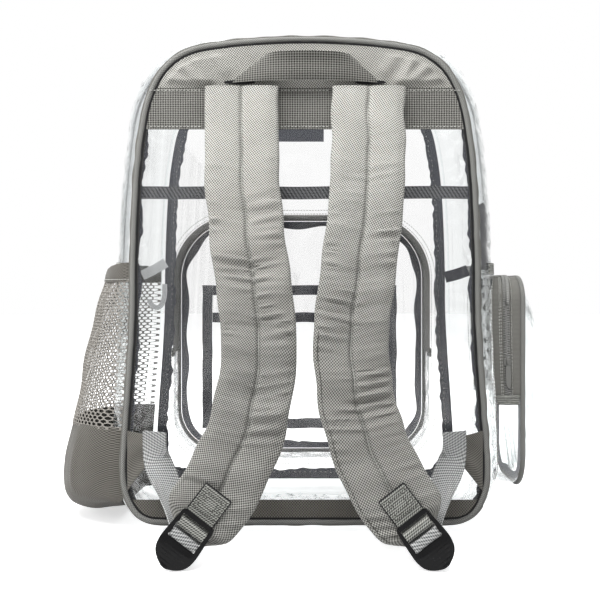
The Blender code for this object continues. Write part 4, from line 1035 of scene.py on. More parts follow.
label_low, label_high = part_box("inner_label_patch")
across = np.linspace(label_low[0], label_high[0], 24)
up = np.linspace(label_low[2], label_high[2], 8)
flat = np.stack(np.meshgrid(across, up, indexing="ij"), axis=-1)
depth = label_high[1] - 0.0001 - np.abs(waves(flat[..., 0], flat[..., 1], 0.02, 105)) * 0.0003
piece("bare_label_cloth", wall(in_panel(flat, depth), in_panel(flat, depth - 0.0006), flat), BINDING,
      ["inner_label_patch"])

# %% [markdown]
# ## End tabs of the main zip
# A short webbing covers each end of the zip, folded under at its sides and sewn along both edges.


# %% End tabs
TAB_HALF_WIDTH = 0.0055
TAB_THICKNESS = 0.0012
for name, row in (("right", TAB_ROW), ("left", COUNT - TAB_ROW)):
    span = TAB_HALF_WIDTH / np.linalg.norm(np.diff(rim([row, row + 1])[0], axis=0))
    rows = np.linspace(row - span, row + span, 10)
    shares = np.linspace(0.07, 0.93, 60)
    lift = 0.0005 + 0.0012 * np.exp(-((shares - 0.5) / 0.03) ** 2)[None, :]
    lift = lift + np.abs(waves(shares[None, :] * DEPTH, rows[:, None] * 0.03, 0.02, 111)) * 0.0003
    piece(f"zip_end_tab_{name}", wall_strip(rows, shares, lift + TAB_THICKNESS, TAB_THICKNESS), TAB_WEB,
          [f"gusset_tab_{name}"])
    dashes = []
    for edge in (rows[1], rows[-2]):
        pair = np.array([edge, edge + 1e-4])
        sewn = side_wall(pair, shares, 0.0020)[0]
        facing = unit(sewn - side_wall(pair, shares, 0.0010)[0])
        dashes.append(stitches(sewn, facing, pitch=0.0026))
    piece(f"zip_end_stitches_{name}", joined(dashes), THREAD, smooth=False)

# %% Tape ends inside the bag
# They hang behind the film, on the right and on the left.
inner_right = np.array([(0.1670, 0.0, 0.2450), (0.1560, 0.001, 0.2410), (0.1440, 0.002, 0.2380)])
inner_left = np.array([(-0.1670, 0.0, 0.2400), (-0.1560, 0.001, 0.2450), (-0.1430, 0.002, 0.2530)])
loop_left = np.array([(-0.1440, 0.0, 0.2310), (-0.1440, 0.001, 0.2150), (-0.1500, 0.002, 0.2060),
                      (-0.1570, 0.002, 0.2080), (-0.1600, 0.001, 0.2150)])
for name, spots, width, material in (
    ("right", inner_right, 0.0115, BINDING),
    ("left", inner_left, 0.010, PALE_TAPE),
    ("loop", loop_left, 0.0050, PALE_TAPE),
):
    spots = even_path(rounded(spots, 3), 0.001)
    beside = np.cross(along_path(spots), (0.0, 1.0, 0.0))
    piece(f"zip_inner_tape_{name}", ribbon(spots, beside, width, 0.0009), material)

# %% [markdown]
# ## Shoulder straps
# A strap is foam between two layers of twill, sewn down the middle and turned at its edges. It is full
# between the seams, its seams are tight, and where the strap bends the cloth gathers into short creases
# across it. The strap is a closed skin: a ring of points carried along the route, with the creases added
# along the ring's own normal. The route gives the share of the drop, the share of the spacing sideways,
# the share of the stand-off and the share of the width.

# %% Strap routes
SIDES = (("left", -1), ("right", 1))
STRAP_WIDTH = 0.067
STRAP_THICKNESS = 0.013
STRAP_SPACING = 0.058
STRAP_DROP = 0.3875
STRAP_STAND = 0.073
BAND_THICKNESS = 0.0015
STRAP_ROUTE = np.array([
    (0.000, 1.00, 0.00, 1.00),
    (0.040, 1.00, 0.01, 1.00),
    (0.110, 0.99, 0.09, 1.00),
    (0.220, 0.97, 0.23, 1.00),
    (0.315, 0.91, 0.34, 0.99),
    (0.410, 0.83, 0.44, 0.99),
    (0.500, 0.74, 0.53, 0.98),
    (0.600, 0.68, 0.62, 0.97),
    (0.675, 0.71, 0.67, 0.97),
    (0.745, 0.79, 0.73, 0.98),
    (0.815, 0.92, 0.79, 0.99),
    (0.880, 1.12, 0.86, 1.00),
    (0.940, 1.36, 0.93, 0.99),
    (0.980, 1.56, 0.98, 0.94),
    (1.000, 1.67, 1.00, 0.74),
])


def strap_middle(side, count=15):
    """The strap's middle line and width at places along its route."""
    route = curve_at(STRAP_ROUTE, np.linspace(0, len(STRAP_ROUTE) - 1, count))
    surface = BAND_THICKNESS + 2 * GAP + STRAP_THICKNESS / 2
    middle = np.stack([
        side * route[:, 1] * STRAP_SPACING,
        BACK - surface - route[:, 2] * STRAP_STAND,
        YOKE_BOTTOM - GAP - route[:, 0] * STRAP_DROP,
    ], axis=1)
    return middle, route[:, 3] * STRAP_WIDTH


def strap_directions(middle):
    """Along, across and face directions of a strap."""
    along = along_path(middle)
    along[0] = (0.0, 0.0, -1.0)
    across = unit(np.cross(along, (0.0, 1.0, 0.0)))
    return along, across, np.cross(along, across)


def strap_height(u, width):
    """Height of the strap's front over its middle plane, as a share of half its thickness."""
    away = np.abs(u) * width / 2
    edge = width / 2 - away
    full = np.clip(1 - np.abs(u) ** 9, 0, 1) ** 0.5
    middle_seam = 0.50 * np.exp(-(away / 0.0017) ** 2) + 0.26 * np.exp(-(away / 0.0080) ** 2)
    edge_seam = 0.10 * np.exp(-((edge - 0.0045) / 0.0017) ** 2)
    return full - middle_seam - edge_seam


def shoulder_strap(name, side, node):
    """A padded strap, with its seams and creases.

    The rise is creases in patches, plus ripples and soft swells, scaled by how far the strap is bent.
    """
    middle, width = strap_middle(side, 600)
    both = even_path(np.hstack([middle, width[:, None]]), 0.0016)
    middle, width = both[:, :3], both[:, 3]
    along, across, face = strap_directions(middle)
    run = lengths(middle)
    end = run[-1] - run
    width = width * (1 - 0.35 * np.exp(-(end / 0.010) ** 2))
    front = np.sin(np.linspace(-np.pi / 2, np.pi / 2, 45))
    front = np.unique(np.concatenate([front[np.abs(front) > 0.13], np.linspace(-0.12, 0.12, 15)]))
    back = np.sin(np.linspace(np.pi / 2, -np.pi / 2, 21))[1:-1]
    u = np.concatenate([front, back])
    up = np.concatenate([
        strap_height(front, STRAP_WIDTH),
        -np.clip(1 - np.abs(back) ** 6, 0, 1) ** 0.5,
    ])
    thin_end = 1 - 0.45 * np.exp(-(end / 0.012) ** 2)
    thin_top = 1 - 0.25 * np.exp(-(run / 0.008) ** 2)
    thickness = STRAP_THICKNESS * thin_end * thin_top
    bend = smooth_step(run, 0.02, 0.17) * (1 - 0.45 * smooth_step(run, 0.27, 0.36))
    a, b = run[:, None], u[None, :] * STRAP_WIDTH / 2
    down = a - across[:, 2:] * b * 0.85
    near_seam = np.exp(-(np.abs(b) / 0.016) ** 2)
    creases = waves(down + np.abs(b) * 0.16, b * 0.45, 0.0115, 121 + side, spread=0.24, count=9)
    patches = smooth_step(waves(a, b, 0.055, 125 + side, count=5), -0.7, 0.9)
    valleys = -np.exp(-(creases / 0.30) ** 2)
    soft = waves(down, b, 0.036, 129 + side, spread=0.5)
    edge_free = np.clip((1 - np.abs(u)) * 7, 0, 1)[None, :]
    ripples = waves(down + np.abs(b) * 0.10, b * 0.5, 0.0058, 127 + side, spread=0.3, count=9)
    rise = (creases * 0.0013 + valleys * 0.0015) * patches + ripples * 0.00034 + soft * 0.0012
    rise = rise * bend[:, None] * edge_free
    rise = rise - np.abs(waves(a, 0.0, 0.0075, 131 + side, spread=0.1)) * near_seam * 0.00035
    rise = rise * np.where(np.arange(len(u)) < len(front), 1.0, 0.3)[None, :]
    height = thickness[:, None] / 2 * up[None, :] + rise
    wander = waves(run, 0.0, 0.05, 135 + side, spread=0.2) * 0.0006
    rings = (
        middle[:, None]
        + across[:, None] * (u[None, :] * (width / 2)[:, None] + wander[:, None])[..., None]
        + face[:, None] * height[..., None]
    )
    points, faces, _ = tube(rings)
    sides = len(u)
    ids = np.arange(len(run) * (sides + 1)).reshape(len(run), sides + 1)
    flat_u = np.append(u, u[0]) * STRAP_WIDTH / 2
    flat_u[len(front):-1] += 0.2
    uv = map_of(flat_u, run).reshape(-1, 2)
    corners = [uv[quads_of(ids)], uv[ids[0, :-1]][None], uv[ids[-1, :-1][::-1]][None]]
    made = piece(name, (points, faces, corners), STRAP_TWILL, [node])
    seam = rings[:, len(front) // 2] + face * 0.0003
    piece(f"{name}_middle_stitches", stitches(seam[6:-16], face[6:-16]), THREAD, smooth=False)
    if side > 0:
        # The right strap shows its edge seam on its lower half.
        low = slice(int(len(run) * 0.55), -12)
        column = np.argmin(np.abs(front + 1 - 0.0045 / (STRAP_WIDTH / 2)))
        seam = rings[:, column] + face * 0.0002
        piece(f"{name}_edge_stitches", stitches(seam[low], face[low]), DARK_THREAD,
              smooth=False)


for name, side in SIDES:
    shoulder_strap(f"shoulder_strap_{name}", side, f"strap_{name}")

# %% [markdown]
# ## Haul handle
# The handle is a length of webbing whose ends fold down on the slant and pass under the yoke seam. It
# stands off the bag in the middle. Each row of the route is a place along it: where the lower edge and the
# upper edge lie sideways, as shares of the span, and how far the webbing stands off.
# %% Handle
HANDLE_SPAN = 0.138
HANDLE_STAND = 0.015
HANDLE_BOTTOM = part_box("haul_handle")[0][2] + 0.0022
HANDLE_HEIGHT = 0.025
HANDLE_ROUTE = np.array([
    (-0.50, -0.27, 0.00),
    (-0.40, -0.24, 0.45),
    (-0.24, -0.17, 0.85),
    (0.00, 0.00, 1.00),
    (0.24, 0.19, 0.85),
    (0.40, 0.27, 0.45),
    (0.50, 0.31, 0.00),
])
route = curve_at(HANDLE_ROUTE, np.linspace(0, len(HANDLE_ROUTE) - 1, 110))
share = np.linspace(0.0, 1.0, 16)
x = (route[:, :1] * (1 - share) + route[:, 1:2] * share) * HANDLE_SPAN
stand = route[:, 2:] * HANDLE_STAND * (0.66 + 0.34 * share + 0.06 * np.sin(share * 7))
z = HANDLE_BOTTOM + HANDLE_HEIGHT * share + np.zeros_like(x)
y = BACK - CLOTH - 2 * GAP - stand
outer = np.stack([x, y - TAPE, z], axis=-1)
inner = np.stack([x, y, z], axis=-1)
uv = np.stack([x, z], axis=-1)
# Crossing ribs, darker than the band's. Drawn coarser.
HANDLE_WEB = woven("ribbed webbing, handle", "#82817C", "#1C1B18", (0.0024, 0), (0.0021, 90), depth=0.0005)
piece("haul_handle_webbing", wall(outer, inner, uv), HANDLE_WEB, ["haul_handle"])

# %% Painted shadows beside the handle
# Where the webbing goes under the seam, a thin black strip stands for the shade in the slit: painted shadow.
for name, side in SIDES:
    across = np.linspace(side * 0.046, side * 0.075, 20)
    half = 0.0019 * np.sqrt(np.clip(1 - np.linspace(-1, 1, 20) ** 2, 0.01, 1))
    up = HANDLE_BOTTOM + 0.0002 + half[:, None] * np.linspace(-1, 1, 5)
    flat = np.stack(np.broadcast_arrays(across[:, None], up), axis=-1)
    seat = BACK - GAP - CLOTH - 0.0024
    piece(f"handle_slit_shadow_{name}", wall(in_panel(flat, seat), in_panel(flat, seat + 0.0007), flat), SHADOW)

# %% [markdown]
# ## Ladder locks
# A ladder lock is moulded in acetal: side rails, three bars across, and a thumb tab that lifts to let the
# webbing slip. The plate is a grid with its slots left open, and a bevel rounds every edge.

# %% Ladder lock frames
LOCK_LENGTH = 0.047
LOCK_WIDTH = 0.034
LOCK_THICKNESS = 0.0036
LOCK_ABOVE_STRAP = 0.0066
LOCK_BEFORE_END = 0.017
EDGE_BAR = 0.004
BAR_LENGTH = 0.004
SLOT_LENGTH = 0.004
SLOT_WIDTH = 0.0262
MIDDLE_SLOT = 0.0065
FIRST_BAR = EDGE_BAR + SLOT_LENGTH
SECOND_BAR = FIRST_BAR + BAR_LENGTH + MIDDLE_SLOT
LAST_SLOT = SECOND_BAR + BAR_LENGTH
THUMB_START = 0.0024
LOCK_OUTLINE = np.array([
    (0.00, 0.78),
    (0.05, 0.90),
    (0.45, 1.00),
    (0.66, 1.00),
    (0.82, 0.86),
    (0.93, 0.55),
    (1.00, 0.16),
])


def lock_frame(side):
    """Origin on the lock's first edge, with its along, across and face directions."""
    middle, _ = strap_middle(side)
    along, across, face = (part[-2] for part in strap_directions(middle))
    half = LOCK_OUTLINE[:, 1:] * LOCK_WIDTH / 2
    reach = LOCK_OUTLINE[:, :1] * LOCK_LENGTH
    edge = np.concatenate([reach * along + half * across, reach * along - half * across])
    lowest = edge[:, 2].min() - abs(face[2]) * LOCK_THICKNESS / 2
    place = middle[-1] - along * LOCK_BEFORE_END + face * (STRAP_THICKNESS / 2 + LOCK_ABOVE_STRAP)
    place[2] = max(place[2], GAP - lowest)
    return place, along, across, face


def in_lock(frame_of_lock, reach, sideways, height):
    """Points given along, across and above the lock's plane."""
    place, along, across, face = frame_of_lock
    reach, sideways, height = (
        np.asarray(value, dtype=float)[..., None] for value in (reach, sideways, height))
    return place + along * reach + across * sideways + face * height


LOCKS = {side: lock_frame(side) for side in (-1, 1)}
# %% [markdown]
# ### The lock's plate
# Cells between the bars are left out, and an edge that only one kept cell uses gets a face downwards.


# %% Ladder lock plates
def ladder_lock(name, side, node):
    """The lock's plate with its slots, and a thumb tab that is domed and ribbed."""
    thumb = LAST_SLOT + THUMB_START
    stops = [0.0, EDGE_BAR, FIRST_BAR, FIRST_BAR + BAR_LENGTH, SECOND_BAR, LAST_SLOT, thumb]
    slots = ((EDGE_BAR, FIRST_BAR), (FIRST_BAR + BAR_LENGTH, SECOND_BAR), (LAST_SLOT, thumb))
    reach = np.unique(np.concatenate([
        np.linspace(stops[i], stops[i + 1], 4) for i in range(len(stops) - 1)
    ] + [np.linspace(stops[-1], LOCK_LENGTH, 22)]).round(7))
    inside = SLOT_WIDTH / LOCK_WIDTH
    share = np.concatenate([np.linspace(-1, -inside, 4), np.linspace(-inside, inside, 17)[1:-1],
                            np.linspace(inside, 1, 4)])
    outline = curve_at(LOCK_OUTLINE, np.linspace(0, len(LOCK_OUTLINE) - 1, 200))
    half = np.interp(reach / LOCK_LENGTH, outline[:, 0], outline[:, 1]) * LOCK_WIDTH / 2
    tab = smooth_step(reach, thumb, thumb + 0.006)
    wide = np.where(tab[:, None] > 0, share * half[:, None],
                    np.where(np.abs(share) > inside + 1e-6, share * half[:, None], share * LOCK_WIDTH / 2))
    dome = tab[:, None] * (1 - share**2) * 0.0012
    lip = 0.0012 * np.exp(-((LOCK_LENGTH - reach) / 0.0035) ** 2)[:, None]
    grips = 0.0004 * np.clip(np.sin((reach - LAST_SLOT) * 2 * np.pi / 0.0032), 0, 1)[:, None] * tab[:, None]
    curl = -0.0018 * smooth_step(reach, thumb, LOCK_LENGTH)[:, None] ** 2
    top = LOCK_THICKNESS / 2 + dome + lip * 0.6 + grips * (np.abs(share) < 0.75) + curl
    low = -LOCK_THICKNESS / 2 + curl * 0.6
    frame_of_lock = LOCKS[side]
    along_grid = np.broadcast_to(reach[:, None], wide.shape)
    upper = in_lock(frame_of_lock, along_grid, wide, top)
    lower = in_lock(frame_of_lock, along_grid, wide, low)
    rows, columns = wide.shape
    ids = np.arange(rows * columns).reshape(rows, columns)
    middle_reach = (reach[1:] + reach[:-1]) / 2
    middle_share = (share[1:] + share[:-1]) / 2
    open_cell = np.zeros((rows - 1, columns - 1), dtype=bool)
    for start, stop in slots:
        along_slot = (middle_reach > start) & (middle_reach < stop)
        open_cell |= along_slot[:, None] & (np.abs(middle_share) < inside)
    shift = rows * columns
    kept = ~open_cell.reshape(-1)
    quads = quads_of(ids)[kept]
    faces = [quads, quads[:, ::-1] + shift]
    edges = np.concatenate([quads[:, [i, (i + 1) % 4]] for i in range(4)])
    keys = {tuple(edge) for edge in edges.tolist()}
    border = np.array([edge for edge in edges.tolist() if (edge[1], edge[0]) not in keys])
    faces.append(np.stack([border[:, 1], border[:, 0], border[:, 0] + shift, border[:, 1] + shift], axis=1))
    points = np.concatenate([upper.reshape(-1, 3), lower.reshape(-1, 3)])
    uv = np.concatenate([np.stack([wide, along_grid], axis=-1).reshape(-1, 2)] * 2)
    made = piece(name, (points, faces, [uv[group] for group in faces]), ACETAL, [node])
    bevel = made.modifiers.new("rounded", "BEVEL")
    bevel.width = 0.0006
    bevel.segments = 2
    bevel.limit_method = "ANGLE"
    bevel.angle_limit = np.radians(50)
    return made


for name, side in SIDES:
    ladder_lock(f"lock_{name}", side, f"ladder_lock_{name}")

# %% [markdown]
# ## Webbing through the locks
# A short webbing is sewn to the strap's end and passes round the lock's first bar. The long webbing
# comes up from the wing behind the strap, over the second bar and back down through the middle slot.


# %% Webbing in the locks
def round_bar(reach, side_of_lock, start, stop):
    """Points round one long edge of a bar, from one angle to another, as (reach, height)."""
    turn = np.radians(np.linspace(start, stop, 4))
    radius = TAPE / 2 + 2 * GAP
    edge = side_of_lock * LOCK_THICKNESS / 2
    return list(zip(reach + radius * np.cos(turn), edge + radius * np.sin(turn)))


def box_stitches(frame_of_lock, start, length, height):
    """Three nested rectangles of stitches, as on a sewn-down webbing end."""
    parts = []
    for inset in (0.0016, 0.0042, 0.0068):
        half = WEBBING_WIDTH / 2 - inset
        low, high = start + inset, start + length - inset
        corners = [(low, -half), (high, -half), (high, half), (low, half), (low, -half)]
        path = np.vstack([even_path(np.array(corners[i:i + 2]), 0.001)[:-1] for i in range(4)])
        sewn = in_lock(frame_of_lock, path[:, 0], path[:, 1], height)
        parts.append(stitches(sewn, np.broadcast_to(frame_of_lock[3], sewn.shape), pitch=0.0024, dash=0.0019))
    return joined(parts)


def strap_tab(name, side, node):
    """The short webbing on the strap's end."""
    here = LOCKS[side]
    seat = -LOCK_ABOVE_STRAP + 2 * GAP + TAPE / 2
    far = FIRST_BAR + BAR_LENGTH
    path = [(-0.024, seat), (-0.012, seat), (EDGE_BAR, seat)] + round_bar(FIRST_BAR, -1, 180, 180)[:1]
    path += round_bar(FIRST_BAR, 1, 180, 90) + round_bar(far, 1, 90, 0) + round_bar(far, -1, 0, -90)
    path.append((FIRST_BAR + BAR_LENGTH / 2, path[-1][1]))
    path = np.array(rounded(path, 2))
    middle = in_lock(here, path[:, 0], 0.0, path[:, 1])
    middle = even_path(middle, 0.0006)
    across = np.broadcast_to(here[2], middle.shape)
    piece(name, ribbon(middle, across, WEBBING_WIDTH, TAPE, columns=16), TAB_WEB, [node])
    # A black cord round the tab's sewn end is painted shadow along its border.
    half = WEBBING_WIDTH / 2 + 0.0004
    edge = np.array([(0.0, -half), (-0.0246, -half), (-0.0246, half), (0.0, half)])
    edge = even_path(edge, 0.0008)
    edge = in_lock(here, edge[:, 0], edge[:, 1], seat)
    piece(f"{name}_edge_shadow", cord(edge, TAPE / 2, sides=6, normal=here[3]), SHADOW)
    piece(f"{name}_stitches", box_stitches(here, -0.0235, 0.021, seat + TAPE / 2 + 0.0002), DARK_THREAD,
          smooth=False)

# %% [markdown]
# ### Wings and adjusters
# A wing spreads the strap's pull along the back seam. The run says how far the long webbing has come on
# its way to the lock: sideways, in depth and upwards.

# %% Wings and adjusters
WING_TOP = 0.095
WING_BOTTOM = 0.040
WING_REACH = 0.027
WING_STAND = 0.012
WING_TIP = 0.020
WING_TIP_SHARE = 0.76
ADJUSTER_RUN = np.array([
    (0.16, 0.10, 0.20),
    (0.38, 0.27, 0.42),
    (0.62, 0.52, 0.64),
    (0.84, 0.80, 0.84),
])


def wing_corners(side):
    """The wing's seam from the top down, then its free edge from the bottom up."""
    face = BACK - GAP - CLOTH
    seam = [(side * (half_width(height) - GAP), face, height) for height in (WING_TOP, WING_BOTTOM)]
    middle = WING_BOTTOM + (WING_TOP - WING_BOTTOM) * WING_TIP_SHARE
    free = [(side * (half_width(middle) - WING_REACH), face - WING_STAND, middle + rise)
            for rise in (-WING_TIP / 2, WING_TIP / 2)]
    return np.array(seam + free)


def wing_face(corners):
    """The direction that a wing's outer face looks in."""
    face = unit(np.cross(corners[1] - corners[0], corners[3] - corners[0]))
    return -face if face[1] > 0 else face


def wing(name, side, node):
    """The triangle of doubled cloth in the back seam, with soft folds towards its tip."""
    corners = wing_corners(side)
    face = wing_face(corners)
    u, v = np.meshgrid(np.linspace(0, 1, 24), np.linspace(0, 1, 24), indexing="ij")
    seam = corners[0] * (1 - v)[..., None] + corners[1] * v[..., None]
    free = corners[3] * (1 - v)[..., None] + corners[2] * v[..., None]
    grid = seam * (1 - u)[..., None] + free * u[..., None]
    fold = np.sin(np.pi * u) * (0.0012 * np.sin(v * 9 + side) + 0.0008)
    grid = grid + face * fold[..., None]
    uv = np.stack([u * 0.03, v * 0.055], axis=-1)
    body = wall(grid + face * CLOTH, grid, uv)
    # The wing takes the darker base twill, partly as painted shade for its folded cloth.
    sewn_sheet(piece(name, body, BASE_TWILL, [node]), body, grid)


def adjuster(name, side, node):
    """The long webbing from the wing through the ladder lock."""
    here = LOCKS[side]
    behind = -LOCK_ABOVE_STRAP - STRAP_THICKNESS
    tail = -LOCK_ABOVE_STRAP + TAPE / 2 + 2 * GAP
    held = [(LOCK_BEFORE_END + 0.005, behind - 0.006), (LAST_SLOT + SLOT_LENGTH, -0.0088)]
    held += round_bar(LAST_SLOT, -1, 0, 0)[:1] + round_bar(LAST_SLOT, 1, 0, 90)
    held += round_bar(SECOND_BAR, 1, 90, 180) + round_bar(SECOND_BAR, -1, 180, 180)[:1]
    held += [(SECOND_BAR - 2 * TAPE, tail), (FIRST_BAR + BAR_LENGTH / 2, tail)]
    held = np.array(held)
    held = in_lock(here, held[:, 0], 0.0, held[:, 1])
    corners = wing_corners(side)
    face = wing_face(corners)
    tip = corners[2:].mean(axis=0)
    outward = unit(corners[0] - tip)
    start = tip - outward * 0.004 + face * (CLOTH + 0.00075 + TAPE / 2)
    sewn = np.array([start + (0.0, 0.0, WING_TIP / 2 + 0.007), start - (0.0, 0.0, 0.003)])
    run = sewn[-1] + (held[0] - sewn[-1]) * ADJUSTER_RUN
    middle = np.vstack([sewn, run, held])
    blend = np.clip((np.arange(len(middle)) - 1) / len(ADJUSTER_RUN), 0, 1)[:, None]
    across = unit(outward * (1 - blend) + here[2] * side * blend)
    both = even_path(rounded(np.hstack([middle, across]), 3), 0.0008)
    tape = ribbon(both[:, :3], both[:, 3:], WEBBING_WIDTH, TAPE, columns=16, cup=0.0006)
    piece(name, tape, TAPE_WEB, [node])


for name, side in SIDES:
    strap_tab(f"strap_end_webbing_{name}", side, f"strap_tab_{name}")
    wing(f"wing_cloth_{name}", side, f"wing_{name}")
    adjuster(f"adjuster_tape_{name}", side, f"adjuster_webbing_{name}")

# %% [markdown]
# ## Zip pockets
# The front and the right side pocket are made in one way: a wall of film, a zip wall above the tabs,
# piping, and a face that domes because the pocket is fuller than its outline. One function makes both
# from an outline, a rule that places a point, and a rule that gives what the pocket is sewn to.


# %% Pocket outlines
def rounded_outline(width, height, top_radius, bottom_radius, split, spacing):
    """A rounded rectangle from the middle of its bottom edge, as points, outward directions and the
    places where the tabs lie, on the right and on the left."""
    turn = np.linspace(0, np.pi / 2, 24)
    short_of_side, short_of_end = 1 - np.sin(turn), 1 - np.cos(turn)
    low = np.stack([width / 2 - bottom_radius * short_of_side, bottom_radius * short_of_end], axis=1)
    high = np.stack([width / 2 - top_radius * short_of_end, height - top_radius * short_of_side], axis=1)
    right = np.vstack([[(0.0, 0.0)], low, high, [(0.0, height)]])
    loop = even_path(np.vstack([right, right[-2::-1] * (-1, 1)]), spacing)[:-1]
    along = along_path(loop, closed=True)
    out = np.stack([along[:, 1], -along[:, 0]], axis=1)
    half = len(loop) // 2
    side = loop[4:half - 4]
    tab = int(np.argmin(np.abs(side[:, 1] - split) + (side[:, 0] < width / 2 - 0.001))) + 4
    return loop, out, (tab, len(loop) - tab)


# %% Pocket pieces
POCKET_TAPE_HALF = 0.0075
POCKET_TAB_HALF = 0.006


def zip_pocket(prefix, outline, place, foot, depth, dome, names, seed):
    """A boxed pocket of film. place turns (sideways, height, stand-off) into a point, foot gives the
    stand-off of what the pocket is sewn to, and names are its end tabs' nodes, right and left."""
    loop, out, (right, left) = outline
    count = len(loop)
    spacing = np.linalg.norm(loop[1] - loop[0])
    rim_depth = depth - PIPING_REACH

    def sheet(rows, shares, lift):
        """Grid on the pocket's wall: rows along the outline, shares out from the foot to the rim."""
        rows, shares = np.asarray(rows) % count, np.asarray(shares)
        lift = np.broadcast_to(lift, (len(rows), len(shares)))
        flat = loop[rows][:, None] + out[rows][:, None] * lift[..., None]
        base = foot(flat[..., 0], flat[..., 1])
        return place(flat[..., 0], flat[..., 1], base + (rim_depth - base) * shares)

    def strip(rows, shares, low, high):
        """A closed strip of the pocket's wall between two lifts."""
        uv = map_of(shares * rim_depth, np.arange(len(rows)) * spacing)
        return wall(sheet(rows, shares, high), sheet(rows, shares, low), uv)

    lower = np.arange(left, count + right + 1)
    shares = np.linspace(0, 1, 16)
    run = (np.arange(len(lower)) * spacing)[:, None]
    lift = waves(run, shares * rim_depth, 0.035, seed, spread=0.6) * 0.0007 * np.sin(np.pi * shares)
    piece(f"{prefix}_wall_film", strip(lower, shares, lift - FILM / 2, lift + FILM / 2), SOFT_FILM,
          [f"{prefix}_gusset"])

    upper = np.arange(right, left + 1)
    lift = 0.0005 * np.sin(np.pi * shares)[None, :] + np.zeros((len(upper), 1))
    piece(f"{prefix}_zip_tape", strip(upper, shares, lift - 0.0004, lift + 0.0004), ZIP_TAPE,
          [f"{prefix}_zip"])
    chain = sheet(upper, np.array([0.5]), 0.0013)[:, 0]
    facing = unit(chain - sheet(upper, np.array([0.5]), 0.0003)[:, 0])
    piece(f"{prefix}_zip_coil", zip_chain(chain, facing, width=0.0066, pitch=0.0023, height=0.0014), COIL,
          smooth=False)
    rows = []
    for offset in (-POCKET_TAPE_HALF, POCKET_TAPE_HALF, -0.0100):
        share = np.array([0.5 + offset / rim_depth])
        sewn = sheet(upper, share, 0.0011)[:, 0]
        rows.append(stitches(sewn, unit(sewn - sheet(upper, share, 0.0)[:, 0])))
    piece(f"{prefix}_zip_stitches", joined(rows), THREAD, smooth=False)

    for node, row in zip(names, (right, left)):
        half = int(POCKET_TAB_HALF / spacing)
        rows = np.arange(row - half, row + half + 1)
        shares = np.linspace(0.06, 0.94, 24)
        lift = 0.0011 + 0.0012 * np.exp(-((shares - 0.5) / 0.10) ** 2)[None, :]
        piece(f"{prefix}_end_{node}", strip(rows, shares, lift, lift + TAB_THICKNESS), TAB_WEB,
              [f"{prefix}_{node}"])
        dashes = []
        for edge in (rows[1], rows[-2]):
            sewn = sheet([edge], shares, lift + 0.0014)[0]
            dashes.append(stitches(sewn, unit(sewn - sheet([edge], shares, lift)[0]), pitch=0.0026))
        piece(f"{prefix}_end_stitches_{node}", joined(dashes), THREAD, smooth=False)

    centre = place(loop[:, 0], loop[:, 1], np.full(count, depth))
    corner = place(np.zeros(1), np.zeros(1), np.zeros(1))
    straight = (place(np.zeros(1), np.zeros(1), np.ones(1)) - corner)[0]
    away = place(out[:, 0], out[:, 1], np.zeros(count)) - corner
    piece(f"{prefix}_piping_cord", cord(centre, PIPING_RADIUS, sides=12, closed=True, normal=straight),
          PIPING, [f"{prefix}_piping"])

    edge = loop - out * PIPING_REACH
    middle = np.array([0.0, (loop[:, 1].min() + loop[:, 1].max()) / 2])
    start = (right + left) // 2
    flat, reach = filled(np.roll(edge, -start, axis=0), 72, middle)
    soft = waves(flat[..., 0], flat[..., 1], 0.06, seed + 3) * 0.0008
    bulge = (1 - reach**2.2) ** 0.9 * dome + smooth_step(1 - reach, 0.0, 0.25) * soft
    film = [place(flat[..., 0], flat[..., 1], depth + bulge + level) for level in (FILM / 2, -FILM / 2)]
    piece(f"{prefix}_face_film", wall(*film, flat),
          SOFT_FILM if prefix == "side_pocket" else FILM_CLEAR, [f"{prefix}_face"])

    run = np.arange(count) * spacing
    wander = waves(run, 0.0, 0.05, seed + 5, spread=0.2) * 0.0014
    share = np.linspace(0.0, 1.0, 7)
    reach = 0.0006 + (0.0072 + wander)[:, None] * share
    flat = edge[:, None] - out[:, None] * reach[..., None]
    uv = map_of(share * 0.008, np.append(run, run[-1] + spacing))
    tape = [place(flat[..., 0], flat[..., 1], np.full(flat.shape[:2], depth - level))
            for level in (0.0010, 0.0020)]
    piece(f"{prefix}_binding_tape", wall(*tape, uv, wrap=True), POCKET_BINDING)
    rows = []
    for reach in (0.0022, 0.0062):
        flat = np.vstack([loop + out * reach, (loop + out * reach)[:1]])
        base = foot(flat[:, 0], flat[:, 1]) + 0.0003
        rows.append(stitches(place(flat[:, 0], flat[:, 1], base), np.broadcast_to(straight, (count + 1, 3))))
    piece(f"{prefix}_foot_stitches", joined(rows), THREAD, smooth=False)
    return sheet, away


# %% Front pocket
FRONT_SHIFT = -0.004
FRONT_BOTTOM = 0.036


def front_place(sideways, height, stand):
    """A point of the front pocket, which faces +Y."""
    return np.stack([sideways + FRONT_SHIFT, FRONT + stand, height + FRONT_BOTTOM], axis=-1)


def front_foot(sideways, height):
    """The front pocket is sewn to the flat front panel."""
    return np.full(np.shape(sideways), GAP)


front_outline = rounded_outline(width=0.288, height=0.272, top_radius=0.070, bottom_radius=0.050,
                                split=0.155 - FRONT_BOTTOM, spacing=0.0024)
front_sheet, front_away = zip_pocket("front_pocket", front_outline, front_place, front_foot, depth=0.042,
                                     dome=0.008, names=("tab_right", "tab_left"), seed=141)

# %% Side pocket
SIDE_BOTTOM = 0.034
SIDE_MIDDLE = BACK + 0.025 + 0.051
SIDE_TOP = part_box("side_pocket_piping")[1][2] - PIPING_RADIUS


def side_place(sideways, height, stand):
    """A point of the right side pocket, which faces +X."""
    return np.stack([PANEL_WIDTH / 2 + stand, SIDE_MIDDLE + sideways, height + SIDE_BOTTOM], axis=-1)


